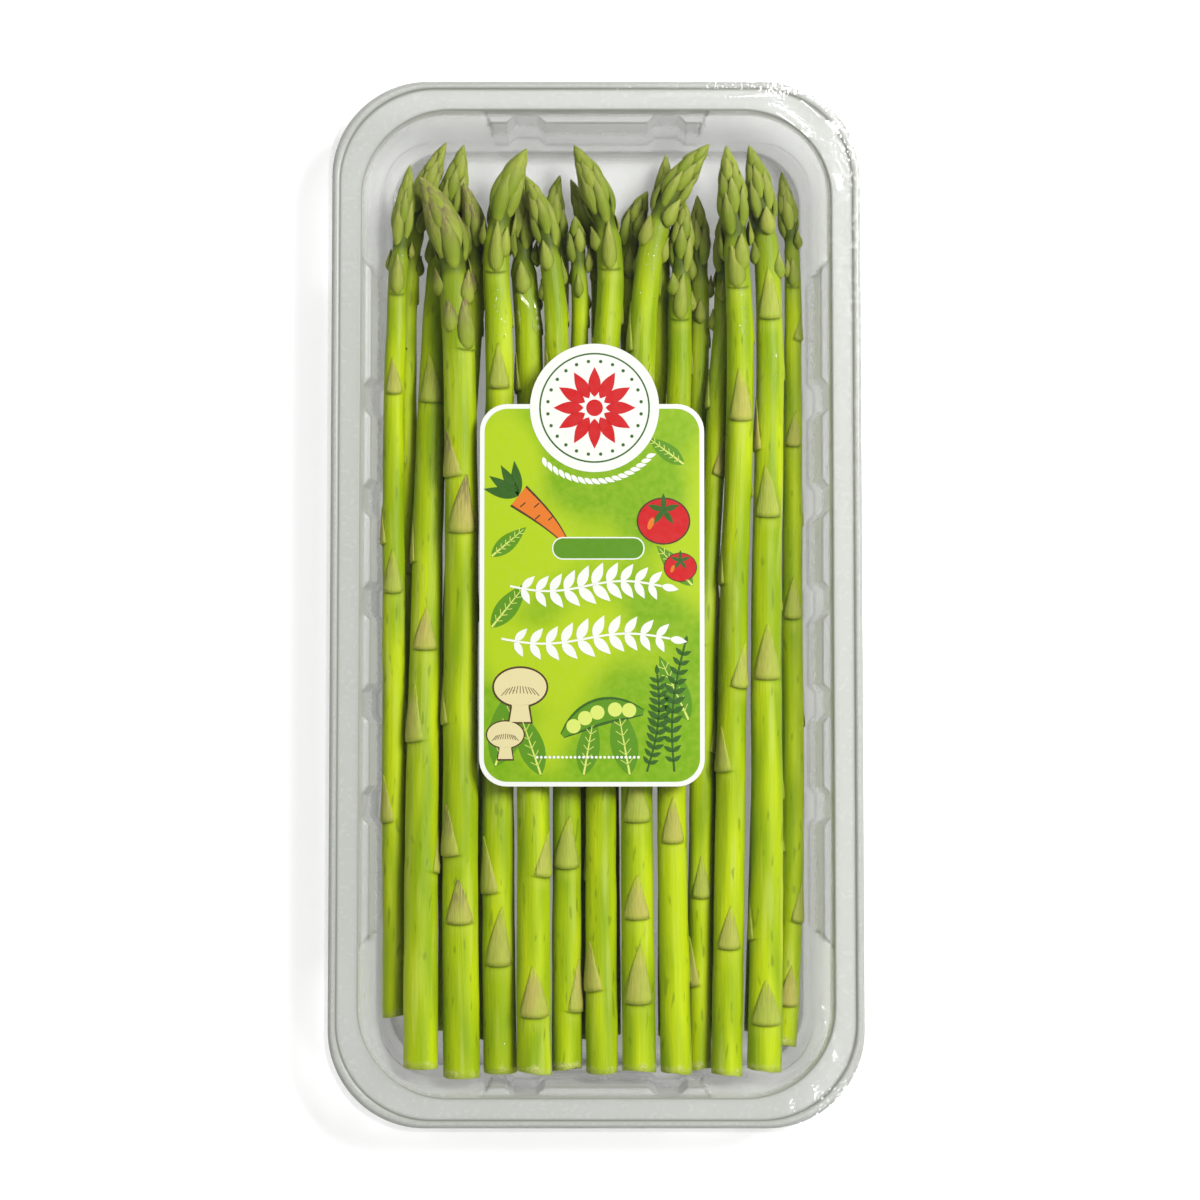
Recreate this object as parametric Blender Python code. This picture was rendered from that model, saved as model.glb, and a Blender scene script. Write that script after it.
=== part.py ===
"""A bundle of asparagus in a clear tray, under a stretched film with a label.

Run it with: blender --background --python part.py
The pack lies on its tray, tips towards +Y. The origin is on the ground under its middle. Sizes are metres.
"""

import math

import bmesh
import bpy
import numpy as np
from mathutils import Vector

MM = 0.001

# Tray: half sizes of the flange's outer edge, and heights above the ground
TRAY_HALF_WIDTH = 63.5 * MM
TRAY_HALF_LENGTH = 125.0 * MM
TRAY_CORNER = 23.0 * MM
WALL_CORNER = 16.0 * MM
WALL_CORNER_SHARPENS = 0.4
FLANGE_WIDTH = 7.2 * MM
FLANGE_HEIGHT = 20.0 * MM
FLANGE_EDGE = 0.5 * MM
LIP_DROP = 2.6 * MM
LEDGE_HEIGHT = 16.2 * MM
LEDGE_WIDTH = 1.8 * MM
STEP_INSET = 0.6 * MM
WALL_TAPER = 2.6 * MM
FLOOR_HEIGHT = 1.8 * MM
FLOOR_ROUND = 1.6 * MM
SHEET = 0.8 * MM
RIB_PITCH = 24.5 * MM
RIB_WIDTH = 7.0 * MM
SIDE_RIBS = 5
END_RIB_PLACES = (-17.0 * MM, 17.0 * MM)

# Film: one clear skin round the tray, open under the floor where its ends meet
FILM = 0.6 * MM
GAP = 0.3 * MM
FILM_TOP = 21.4 * MM
FILM_OPENING_HALF = (18.0 * MM, 80.0 * MM)

# Label: a round-cornered plate with a round badge at its head, off centre as in the photo
LABEL_CENTRE = (-1.0 * MM, 1.0 * MM)
LABEL_HALF = (26.7 * MM, 45.5 * MM)
LABEL_CORNER = 6.5 * MM
BADGE_RADIUS = 15.4 * MM
BADGE_OFFSET = (0.6 * MM, 44.6 * MM)
LABEL = 0.6 * MM

# Settling of the spears
STATION_STEP = 3.0 * MM
CLEARANCE = 0.4 * MM
WALL_GAP = 0.8 * MM
SETTLING_ROUNDS = 1000
CALM_SHARE = 0.3
SINK = 0.03 * MM
HOLD_TO_PLAN = 0.03
STIFFNESS = 800
FLOOR_SLOPE = 3.0

# How far scales, buds and bracts stand out of a spear
COLUMNS = 8
SCALE_STEP = 0.55 * MM
SCALE_LIFT = 0.25 * MM
BUD_LIFT = 0.9 * MM
BRACT_LIFT = 0.35 * MM
BUD_ZONE = 45.0 * MM
BRACT_LENGTH = 10.0 * MM

UPPER, MIDDLE, LOWER = 14.5 * MM, 11.0 * MM, 6.0 * MM

# Each spear, in millimetres but for its two heights: name, height of its stem and of its head before
# settling, diameters of its cut end, neck and head, length of its head, plan points (y, x) from cut end to
# tip, and the bracts seen from above, each with its y and its side: -1 left, 0 on top, 1 right
SPEARS = [
    ("spear_01", UPPER, UPPER, 6.0, 4.6, 5.0, 26,
     [(-99.5, -49.3), (-71, -48.6), (-8.5, -48.0), (63.5, -47.5), (85, -46.5), (106, -44)],
     [(74, 0), (50, 0), (2, 0), (-53, -1)]),
    ("spear_02", UPPER, LOWER, 8.3, 6.4, 7.0, 27,
     [(-111, -42.8), (-71, -42.3), (-8.5, -41.3), (49, -40.3), (82.5, -38.2), (97, -36), (112, -32.5)],
     [(48, 0), (-12, 0), (-34, -1)]),
    ("spear_03", UPPER, UPPER, 8.8, 7.4, 8.8, 31,
     [(-113, -34.8), (-71, -33.8), (-23, -33), (37, -32.5), (73, -34), (88.5, -36), (102.5, -43)],
     [(60, 1), (16, 0), (-61, -1), (-77, 0)]),
    ("spear_04", UPPER, UPPER, 8.0, 6.2, 7.2, 25,
     [(-112, -26.4), (-66, -24.8), (1, -24.2), (61, -24), (85, -25), (97, -23.5), (109.5, -17.5)],
     [(79, 0), (51, 0), (-87, 0)]),
    ("spear_05", UPPER, LOWER, 8.3, 6.2, 6.6, 25,
     [(-112.5, -17.6), (-59, -16.4), (1, -16), (63.5, -16.8), (83, -18.5), (103.5, -18.5)],
     [(-66, 1), (-99, 0)]),
    ("spear_06", UPPER, UPPER, 7.2, 5.2, 6.0, 24,
     [(-112, -8.6), (-59, -8), (1, -7.8), (62.5, -9), (78, -10), (87, -11), (96, -13.2), (103.5, -17)],
     [(-64, 0), (-98, 1)]),
    ("spear_07", UPPER, UPPER, 7.6, 6.2, 7.2, 27,
     [(-112.5, -0.2), (-59, 0.6), (1, 1.2), (63.5, 2.5), (82.5, 3.5), (95, 1.5), (111, -5.5)],
     [(80, 0), (-93, -1)]),
    ("spear_08", UPPER, UPPER, 8.0, 6.2, 7.2, 27,
     [(-112, 8.4), (-59, 9.2), (1, 10.2), (63.5, 12), (82.5, 13.6), (96, 17.5), (103, 22.3), (111, 28.6)],
     [(-53, 0), (-76, 0), (-96, 0)]),
    ("spear_09", UPPER, LOWER, 7.4, 5.4, 5.8, 23,
     [(-112.5, 17.0), (-59, 17.2), (1, 18.3), (61, 20.3), (80.5, 20.5), (98, 21.5)],
     [(68, 0), (-58, 0)]),
    ("spear_10", UPPER, LOWER, 6.0, 4.8, 5.2, 23,
     [(-112, 24.2), (-59, 24.6), (-8.5, 26), (42, 29), (73, 31), (97, 31)],
     [(-71, 0), (-92, -1)]),
    ("spear_11", UPPER, UPPER, 7.4, 6.1, 7.2, 28,
     [(-113, 31.2), (-59, 31.8), (1, 32.8), (63.5, 34.2), (83, 33.5), (97, 32.6), (110, 31)],
     [(75, 0), (43, 0), (-41, -1), (-83, 0)]),
    ("spear_12", UPPER, UPPER, 8.2, 6.0, 6.8, 26,
     [(-112, 39.4), (-71, 40.0), (1, 39.8), (63.5, 40.8), (85, 40.2), (102, 38.2), (111, 36)],
     [(68, 0), (20, 0), (-19, 0), (-101, 0)]),
    ("spear_13", UPPER, UPPER, 6.0, 3.8, 4.6, 22,
     [(-106.5, 46.8), (-71, 47.6), (1, 47.2), (63.5, 47.8), (90, 47.8), (106, 45.5)],
     [(77, 0), (64, 1), (38, 0), (-4, 0), (-77, 1), (-97, 0)]),
    ("spear_14", LOWER, LOWER, 6.2, 4.4, 6.0, 27,
     [(-104, -44.5), (-23, -45.2), (56.5, -45.2), (84, -44.8), (99.5, -42), (112.5, -37.5)], []),
    ("spear_15", LOWER, MIDDLE, 6.4, 4.8, 5.6, 24,
     [(-103, -35), (-23, -34.5), (61, -31), (84, -30.3), (94, -31.6), (102, -34.3)], []),
    ("spear_16", LOWER, LOWER, 6.0, 4.4, 4.8, 22,
     [(-105, -25.5), (-23, -25), (49, -25.5), (83, -26), (104.5, -26.5)], []),
    ("spear_17", LOWER, LOWER, 6.2, 4.4, 5.6, 24,
     [(-104, -15.5), (-23, -14.5), (61, -9.8), (87, -8.6), (97, -10.2), (105, -8.2)], []),
    ("spear_18", LOWER, MIDDLE, 5.6, 4.0, 5.2, 15,
     [(-105, -6.5), (-23, -6), (49, -5), (80.5, -5), (94, -6)], []),
    ("spear_19", LOWER, LOWER, 6.0, 4.4, 5.0, 22,
     [(-104, 2), (-23, 2), (62.5, 0.5), (87.5, -0.5), (95, -3.2), (104, -6.5)], []),
    ("spear_20", LOWER, LOWER, 6.4, 4.8, 6.2, 19,
     [(-104.5, 10.5), (-23, 9.5), (62.5, 8), (85, 7), (91, 7.6), (101, 11.8)], []),
    ("spear_21", LOWER, LOWER, 6.2, 4.6, 5.6, 24,
     [(-104.5, 19), (-23, 17.5), (49, 14.5), (90, 14.2), (110, 15)], []),
    ("spear_22", LOWER, UPPER, 6.0, 4.6, 5.6, 24,
     [(-105, 30), (-23, 29), (44.5, 25.5), (80.5, 26), (100, 25.5)], []),
    ("spear_23", LOWER, LOWER, 6.0, 4.0, 5.0, 24,
     [(-103, 42), (-23, 43), (56.5, 44), (87.5, 43.5), (107.5, 40)], []),
]

# Colour, roughness and metallic of each finish
MATERIALS = {
    "spear": ((0.30, 0.40, 0.02, 1.0), 0.45, 0.0),
    "tray": ((0.80, 0.81, 0.80, 0.35), 0.12, 0.0),
    "film": ((0.90, 0.91, 0.90, 0.20), 0.08, 0.0),
    "label": ((0.52, 0.64, 0.03, 1.0), 0.40, 0.0),
}


def clear_scene():
    """Removes whatever the scene holds."""
    for obj in list(bpy.data.objects):
        bpy.data.objects.remove(obj)


def material(name):
    """The material of one finish, made once."""
    found = bpy.data.materials.get(name)
    if found:
        return found
    colour, roughness, metallic = MATERIALS[name]
    made = bpy.data.materials.new(name)
    made.use_nodes = True
    shader = made.node_tree.nodes["Principled BSDF"]
    shader.inputs["Base Color"].default_value = colour
    shader.inputs["Alpha"].default_value = colour[3]
    shader.inputs["Roughness"].default_value = roughness
    shader.inputs["Metallic"].default_value = metallic
    return made


def new_object(name, points, faces, finish):
    """A mesh object from points and faces, its faces turned to point out."""
    mesh = bpy.data.meshes.new(name)
    mesh.from_pydata([tuple(p) for p in points], [], faces)
    work = bmesh.new()
    work.from_mesh(mesh)
    bmesh.ops.recalc_face_normals(work, faces=work.faces)
    work.to_mesh(mesh)
    work.free()
    obj = bpy.data.objects.new(name, mesh)
    bpy.context.scene.collection.objects.link(obj)
    mesh.materials.append(material(finish))
    return obj


def bridge(rings):
    """Quads between each ring and the next, all rings having the same count of points."""
    count = len(rings[0])
    return [
        (k * count + i, k * count + (i + 1) % count, (k + 1) * count + (i + 1) % count, (k + 1) * count + i)
        for k in range(len(rings) - 1)
        for i in range(count)
    ]


def rounded_outline(half_x, half_y, corner, steps, side_places=(), end_places=()):
    """Points round a round-cornered rectangle, anticlockwise from the lower right corner.

    side_places are the y places of extra points on each long side, end_places the x places on each end.
    """
    points = []
    for sign_x, sign_y, start in [(1, -1, -90), (1, 1, 0), (-1, 1, 90), (-1, -1, 180)]:
        for k in range(steps + 1):
            angle = math.radians(start + 90 * k / steps)
            points.append((
                sign_x * (half_x - corner) + corner * math.cos(angle),
                sign_y * (half_y - corner) + corner * math.sin(angle),
            ))
        if sign_x != sign_y:
            points += [(sign_x * half_x, sign_x * y) for y in sorted(side_places)]
        else:
            points += [(-sign_x * x, sign_y * half_y) for x in sorted(end_places)]
    return points


def tray_inset(height):
    """How far the tray's inner wall stands in from the flange's inner edge, at a height."""
    if height >= LEDGE_HEIGHT:
        return STEP_INSET * (FLANGE_HEIGHT - height) / (FLANGE_HEIGHT - LEDGE_HEIGHT)
    down = (LEDGE_HEIGHT - height) / (LEDGE_HEIGHT - FLOOR_HEIGHT)
    return STEP_INSET + LEDGE_WIDTH + WALL_TAPER * min(down, 1.0)


def inner_half(height):
    """Half width and half length of the tray's inside at a height."""
    inset = FLANGE_WIDTH + tray_inset(height)
    return TRAY_HALF_WIDTH - inset, TRAY_HALF_LENGTH - inset


def wall_corner(inset):
    """The corner radius of the tray's wall at an inset from the flange's outer edge."""
    return WALL_CORNER - WALL_CORNER_SHARPENS * (inset - FLANGE_WIDTH - STEP_INSET - LEDGE_WIDTH)


def rib_places(centres, width):
    """Three places over each rib: its two feet and its crest."""
    return [centre + side * width / 2 for centre in centres for side in (-1, 0, 1)]


def tray_rings():
    """The tray's upper surface as rings, from the lip's foot to the floor's edge. Ribs bulge outward."""
    side_centres = [RIB_PITCH * (k - (SIDE_RIBS - 1) / 2) for k in range(SIDE_RIBS)]
    side_places = rib_places(side_centres, RIB_WIDTH)
    end_places = rib_places(END_RIB_PLACES, RIB_WIDTH)
    ledge = FLANGE_WIDTH + STEP_INSET + LEDGE_WIDTH
    profile = [
        (0.0, FLANGE_HEIGHT - LIP_DROP, TRAY_CORNER, False),
        (FLANGE_EDGE, FLANGE_HEIGHT, TRAY_CORNER, False),
        (FLANGE_WIDTH, FLANGE_HEIGHT, TRAY_CORNER - 1.5 * MM, False),
        (FLANGE_WIDTH + STEP_INSET, LEDGE_HEIGHT, TRAY_CORNER - 3.5 * MM, False),
        (ledge, LEDGE_HEIGHT - 0.4 * MM, wall_corner(ledge), True),
        (ledge + WALL_TAPER, FLOOR_HEIGHT + FLOOR_ROUND, wall_corner(ledge + WALL_TAPER), True),
        (ledge + WALL_TAPER + FLOOR_ROUND, FLOOR_HEIGHT, wall_corner(ledge + WALL_TAPER) - FLOOR_ROUND, False),
    ]
    rings = []
    for inset, height, corner, ribbed in profile:
        half_x, half_y = TRAY_HALF_WIDTH - inset, TRAY_HALF_LENGTH - inset
        ring = []
        for x, y in rounded_outline(half_x, half_y, corner, 4, side_places, end_places):
            on_side = abs(abs(x) - half_x) < GAP and min(abs(y - c) for c in side_centres) < GAP
            on_end = abs(abs(y) - half_y) < GAP and min(abs(x - c) for c in END_RIB_PLACES) < GAP
            if ribbed and on_side:
                x += math.copysign(LEDGE_WIDTH, x)
            if ribbed and on_end:
                y += math.copysign(LEDGE_WIDTH, y)
            ring.append((x, y, height))
        rings.append(ring)
    return rings


def make_sheet(name, rings, thickness):
    """A closed sheet from rings, capped across the last, thickened on the side away from its upper face."""
    count = len(rings[0])
    faces = bridge(rings)
    last = (len(rings) - 1) * count
    faces.append(tuple(range(last, last + count)))
    obj = new_object(name, [p for ring in rings for p in ring], faces, name)
    solid = obj.modifiers.new("thickness", "SOLIDIFY")
    solid.thickness = thickness
    solid.offset = -1 if obj.data.polygons[len(faces) - 1].normal.z > 0 else 1
    solid.use_even_offset = True
    return obj


def make_film():
    """The stretched skin: from its opening under the floor, up the sides, over the lip and across the top."""
    reach = GAP + FILM
    base_x, base_y = (half + SHEET for half in inner_half(FLOOR_HEIGHT))
    edge_x, edge_y = TRAY_HALF_WIDTH + reach, TRAY_HALF_LENGTH + reach
    turn, slope = 1.5 * MM, 8.0 * MM
    base_corner = TRAY_CORNER / 2
    rows = [
        (*FILM_OPENING_HALF, base_corner / 2, 0.0),
        (base_x, base_y, base_corner, 0.0),
        (base_x + turn, base_y + turn, base_corner + turn, FILM),
        (edge_x, edge_y, TRAY_CORNER, FLANGE_HEIGHT - LIP_DROP - GAP),
        (edge_x, edge_y, TRAY_CORNER, FLANGE_HEIGHT),
        (edge_x - turn, edge_y - turn, TRAY_CORNER, FLANGE_HEIGHT + reach),
        (edge_x - turn - slope, edge_y - turn - slope, TRAY_CORNER - slope / 2, FILM_TOP),
    ]
    rings = [
        [(x, y, height) for x, y in rounded_outline(*half, corner, 5, (-40 * MM, 0.0, 40 * MM), (0.0,))]
        for *half, corner, height in rows
    ]
    return make_sheet("film", rings, FILM)


def label_outline():
    """The label's outline: a round-cornered plate whose top edge rises round the badge."""
    half_x, half_y = LABEL_HALF
    badge_x, badge_y = BADGE_OFFSET
    meet = math.asin((half_y - badge_y) / BADGE_RADIUS)
    corner_steps = 5
    plate = rounded_outline(half_x, half_y, LABEL_CORNER, corner_steps)
    right, left = plate[:2 * corner_steps + 2], plate[2 * corner_steps + 2:]
    arc = [
        (badge_x + BADGE_RADIUS * math.cos(angle), badge_y + BADGE_RADIUS * math.sin(angle))
        for angle in np.linspace(meet, math.pi - meet, 17)
    ]
    return [(x + LABEL_CENTRE[0], y + LABEL_CENTRE[1]) for x, y in right + arc + left]


def make_label():
    """The label, flat on the film."""
    outline = label_outline()
    low = FILM_TOP + GAP
    count = len(outline)
    points = [(x, y, low) for x, y in outline] + [(x, y, low + LABEL) for x, y in outline]
    faces = bridge([outline, outline])
    faces.append(tuple(range(count)))
    faces.append(tuple(range(count, 2 * count)))
    return new_object("label", points, faces, "label")


def smooth_through(places, values, at):
    """A smooth curve through the values at rising places, read at the places in at."""
    places, values, at = (np.asarray(v, float) for v in (places, values, at))
    slopes = np.gradient(values, places)
    k = np.clip(np.searchsorted(places, at) - 1, 0, len(places) - 2)
    width = places[k + 1] - places[k]
    t = (at - places[k]) / width
    return (
        (2 * t**3 - 3 * t**2 + 1) * values[k]
        + (t**3 - 2 * t**2 + t) * width * slopes[k]
        + (3 * t**2 - 2 * t**3) * values[k + 1]
        + (t**3 - t**2) * width * slopes[k + 1]
    )


def spear_radius(from_tip, length, cut, neck, head, head_length):
    """A spear's radius at a distance from its tip: a pointed head, a neck, and a stem that thickens."""
    from_tip = np.asarray(from_tip, float)
    u = np.clip(from_tip / head_length, 0, 1)
    widest = 0.62
    pointed = head * np.sin(np.pi / 2 * np.minimum(u / widest, 1)) ** 0.8
    narrows = neck + (head - neck) * (1 - np.clip((u - widest) / (1 - widest), 0, 1) ** 1.5)
    v = np.clip((from_tip - head_length) / (length - head_length), 0, 1)
    stem = neck + (cut - neck) * v**0.7
    return np.where(u < widest, pointed, np.where(u < 1, narrows, stem))


def relief(from_tip, head_length):
    """How far buds and bracts stand out at a distance from the tip. They flatten away from the head."""
    flatter = np.clip((np.asarray(from_tip) - head_length) / BUD_ZONE, 0, 1)
    lift = BUD_LIFT + (BRACT_LIFT - BUD_LIFT) * flatter
    return np.where(np.asarray(from_tip) < head_length, SCALE_LIFT, lift)


def stiffener(count):
    """The matrix that takes most of the bend out of one spear's values at that many stations."""
    bend = np.diff(np.eye(count), n=2, axis=0)
    return np.linalg.inv(np.eye(count) + STIFFNESS * bend.T @ bend)


def keep_inside(x, z, radius, stations):
    """Holds the settling spears over the floor, under the film and between the tray's walls."""
    half_floor = inner_half(FLOOR_HEIGHT)[1] - FLOOR_ROUND
    rise = np.clip(np.abs(stations) - half_floor, 0, None) * FLOOR_SLOPE
    z = np.minimum(z, FILM_TOP - FILM - GAP - radius)
    z = np.maximum(z, FLOOR_HEIGHT + rise + radius)
    down = np.clip((LEDGE_HEIGHT - z) / (LEDGE_HEIGHT - FLOOR_HEIGHT), 0, 1)
    inset = FLANGE_WIDTH + STEP_INSET + LEDGE_WIDTH + WALL_TAPER * down + WALL_GAP
    corner = wall_corner(inset)
    past = np.clip(np.abs(stations) - (TRAY_HALF_LENGTH - inset - corner), 0, corner)
    wall = TRAY_HALF_WIDTH - inset - corner + np.sqrt(np.maximum(corner**2 - past**2, 0))
    limit = np.maximum(wall - radius, 0)
    return np.clip(x, -limit, limit), z


def settle():
    """Lets the spears settle on the tray's floor and on each other, from where the plan puts them.

    Each spear is read at shared stations along Y, where its section is a circle in X and Z. Circles that
    overlap push apart, each spear sinks and stays nearly straight, and keeps near its plan.
    """
    half = TRAY_HALF_LENGTH - FLANGE_WIDTH
    stations = np.arange(-half, half, STATION_STEP)
    shape = (len(SPEARS), len(stations))
    plan, z, radius = (np.zeros(shape) for _ in range(3))
    active = np.zeros(shape, bool)
    for i, (_, stem_z, head_z, cut, neck, head, head_length, points, _) in enumerate(SPEARS):
        ys, xs = (np.array([p[k] for p in points]) * MM for k in (0, 1))
        inside = np.clip(stations, ys[0], ys[-1])
        active[i] = (stations > ys[0] - STATION_STEP / 2) & (stations < ys[-1] + STATION_STEP / 2)
        plan[i] = smooth_through(ys, xs, inside)
        halves = (d / 2 * MM for d in (cut, neck, head))
        bare = spear_radius(ys[-1] - inside, ys[-1] - ys[0], *halves, head_length * MM)
        leaning = np.hypot(1, np.gradient(plan[i], stations))
        radius[i] = (bare + relief(ys[-1] - inside, head_length * MM)) * leaning + CLEARANCE / 2
        z[i] = stem_z + (head_z - stem_z) * np.clip((inside - ys[-1] + 100 * MM) / (60 * MM), 0, 1)
    x = plan.copy()
    stiffeners = [stiffener(on.sum()) for on in active]
    meet = active[:, None] & active[None] & ~np.eye(len(SPEARS), dtype=bool)[:, :, None]
    gather = radius[:, None] + radius[None]
    for step in range(SETTLING_ROUNDS):
        left = 1 - step / SETTLING_ROUNDS
        if left > CALM_SHARE:
            z = z - SINK
            x = x + HOLD_TO_PLAN * (plan - x)
        for values, ideal in ((x, plan), (z, np.zeros_like(z))):
            for i, on in enumerate(active):
                off = (values[i] - ideal[i])[on]
                values[i, on] += min(1, left * 2.5) * (stiffeners[i] @ off - off)
        for _ in range(2):
            dx, dz = x[:, None] - x[None], z[:, None] - z[None]
            apart = np.maximum(np.hypot(dx, dz), 1e-9)
            push = np.where(meet, np.clip(gather - apart, 0, None), 0) * 0.35
            x, z = keep_inside(x + (push * dx / apart).sum(1), z + (push * dz / apart).sum(1), radius, stations)
    dx, dz = x[:, None] - x[None], z[:, None] - z[None]
    worst = np.where(meet, gather - np.hypot(dx, dz), 0).max()
    print(f"settled: spears come within {(CLEARANCE - worst) / MM:.2f} mm of each other at the closest")
    return [(stations[on], x[i, on], z[i, on]) for i, on in enumerate(active)]


class Spear:
    """One settled spear: its axis by distance from the tip, its radius, and a skin built ring by ring."""

    def __init__(self, row, settled):
        self.name, _, _, cut, neck, head, head_length, points, self.seen = row
        stations, x, z = settled
        ys = np.linspace(points[-1][0] * MM, points[0][0] * MM, 120)
        line = np.column_stack([self.run_on(ys, stations, x), ys, self.run_on(ys, stations, z)])
        for _ in range(4):
            line[1:-1] = (line[:-2] + 2 * line[1:-1] + line[2:]) / 4
        self.line = line
        self.along = np.concatenate([[0], np.cumsum(np.linalg.norm(np.diff(line, axis=0), axis=1))])
        self.length = float(self.along[-1])
        self.sizes = [d / 2 * MM for d in (cut, neck, head)]
        self.head_length = head_length * MM
        self.points, self.faces = [], []

    @staticmethod
    def run_on(ys, stations, values):
        """Values read between stations, and run on straight past the first and last of them."""
        read = np.interp(ys, stations, values)
        low = (values[1] - values[0]) / (stations[1] - stations[0])
        high = (values[-1] - values[-2]) / (stations[-1] - stations[-2])
        return read + low * np.minimum(ys - stations[0], 0) + high * np.maximum(ys - stations[-1], 0)

    def radius(self, from_tip):
        return float(spear_radius(from_tip, self.length, *self.sizes, self.head_length))

    def centre(self, from_tip):
        return Vector([np.interp(from_tip, self.along, self.line[:, k]) for k in range(3)])

    def point(self, from_tip, column, out):
        """Adds a point: at a distance from the tip, at a column round the axis, and out from the radius."""
        step = 2 * MM
        ahead = (self.centre(max(from_tip - step, 0)) - self.centre(from_tip + step)).normalized()
        side = ahead.cross(Vector((0, 0, 1))).normalized()
        up = side.cross(ahead)
        angle = column * 2 * math.pi / COLUMNS
        reach = max(self.radius(from_tip) + out, 0.1 * MM)
        self.points.append(self.centre(from_tip) + (math.cos(angle) * up + math.sin(angle) * side) * reach)
        return len(self.points) - 1

    def ring(self, from_tip, out=0.0):
        """Adds a ring of one point a column. Both values may be lists, with one for each column."""
        places = from_tip if isinstance(from_tip, list) else [from_tip] * COLUMNS
        outs = out if isinstance(out, list) else [out] * COLUMNS
        return [self.point(t, c, o) for c, (t, o) in enumerate(zip(places, outs))]

    def strip(self, upper, lower, skip=()):
        """Quads between two rings, but for the skipped columns."""
        for c in range(COLUMNS):
            if c not in skip:
                d = (c + 1) % COLUMNS
                self.faces.append((upper[c], upper[d], lower[d], lower[c]))

    def head(self, whorls):
        """The head: whorls of pointed scales, each standing out over the foot of the one nearer the tip."""
        tip = self.point(0.0, 0, 0.0)
        points = [self.head_length * (k / whorls) ** 1.1 for k in range(whorls + 1)]
        above = None
        for k in range(whorls):
            pitch = points[k + 1] - points[k]
            turn = k % 2
            belly = self.ring(points[k] + 0.62 * pitch, [SCALE_LIFT * ((c + turn) % 2) for c in range(COLUMNS)])
            if above is None:
                for c in range(COLUMNS):
                    self.faces.append((tip, belly[(c + 1) % COLUMNS], belly[c]))
            else:
                self.strip(above, belly)
            ends = [points[k + 1] + 0.5 * pitch * ((c + turn) % 2) for c in range(COLUMNS)]
            foot = self.ring([t + 0.2 * MM for t in ends], -SCALE_STEP)
            above = self.ring(ends, [SCALE_LIFT * (1 - 0.6 * ((c + turn) % 2)) for c in range(COLUMNS)])
            self.strip(belly, foot)
            self.strip(foot, above)
        return above, max(ends)

    def bract(self, upper, foot, place, long, column):
        """One pointed bract between two rings: rooted at the foot ring, its point on the upper ring."""
        lift = float(relief(place, self.head_length))
        left, mid, right = (column - 1) % COLUMNS, column, (column + 1) % COLUMNS
        waist = place - 0.45 * long
        side_a, side_b = (self.point(waist, column + s * 0.8, 0.0) for s in (-1, 1))
        edge_a, edge_b = (self.point(waist, column + s * 0.8, 0.6 * lift) for s in (-1, 1))
        ridge, root = self.point(waist, column, lift), self.point(place - 0.06 * long, column, 0.8 * lift)
        end = self.point(place - long + 0.2 * MM, column, 0.7 * lift)
        for low, side, edge, top in [
            (foot[left], side_a, edge_a, upper[left]),
            (foot[right], side_b, edge_b, upper[right]),
        ]:
            self.faces += [
                (low, side, top), (side, upper[mid], top), (low, edge, side),
                (side, edge, end, upper[mid]), (low, foot[mid], root), (low, root, ridge, edge),
                (edge, ridge, end),
            ]
        self.strip(upper, foot, skip=(left, mid))

    def nodes(self, spacing):
        """Where bracts grow, as (distance from the tip, column): the seen ones and, round the stem, the rest."""
        seen = []
        for y, side in sorted(self.seen, reverse=True):
            place = float(np.interp(-y * MM, -self.line[:, 1], self.along))
            seen.append((place, side % COLUMNS))
        seen.append((self.length, None))
        found = []
        at, column = self.head_length * 1.15 + BRACT_LENGTH, 3
        for place, own in seen:
            while place - at > BRACT_LENGTH * 1.1:
                found.append((at, column))
                column = (column + 3) % COLUMNS
                at += spacing * (12 * MM + 0.16 * (at - self.head_length))
            if own is not None:
                found.append((place, own))
                column = (own + 3) % COLUMNS
                at = place + spacing * (12 * MM + 0.16 * (place - self.head_length))
        return found

    def build(self, whorls, spacing):
        """The whole skin, from the tip to the flat cut end."""
        above, at = self.head(whorls)
        for place, column in self.nodes(spacing):
            long = min(BRACT_LENGTH, place - at - 1.5 * MM)
            upper = self.ring(place - long)
            self.strip(above, upper)
            foot = self.ring(place)
            self.bract(upper, foot, place, long, column)
            above, at = foot, place
        cut = self.ring(self.length)
        self.strip(above, cut)
        self.faces.append(tuple(cut))
        return new_object(self.name, self.points, self.faces, "spear")


def main():
    clear_scene()
    make_sheet("tray", tray_rings(), SHEET)
    make_film()
    make_label()
    for row, settled in zip(SPEARS, settle()):
        in_upper_layer = row[1] == UPPER
        Spear(row, settled).build(whorls=4, spacing=1.0 if in_upper_layer else 2.0)


main()
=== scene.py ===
"""Looks for a bundle of asparagus in its clear tray pack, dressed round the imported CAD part.

The pack lies on its tray with the tips towards +Y, in the CAD model's own frame, in metres. Every spear, the tray,
the wrap and the label replace the solids of the same names, and follow them: a spear's axis is read from its solid.
"""

from __future__ import annotations

import logging
import math
from dataclasses import dataclass, field
from enum import Enum

import bmesh
import bpy
import numpy as np
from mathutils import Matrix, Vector
from mathutils.geometry import tessellate_polygon

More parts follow.
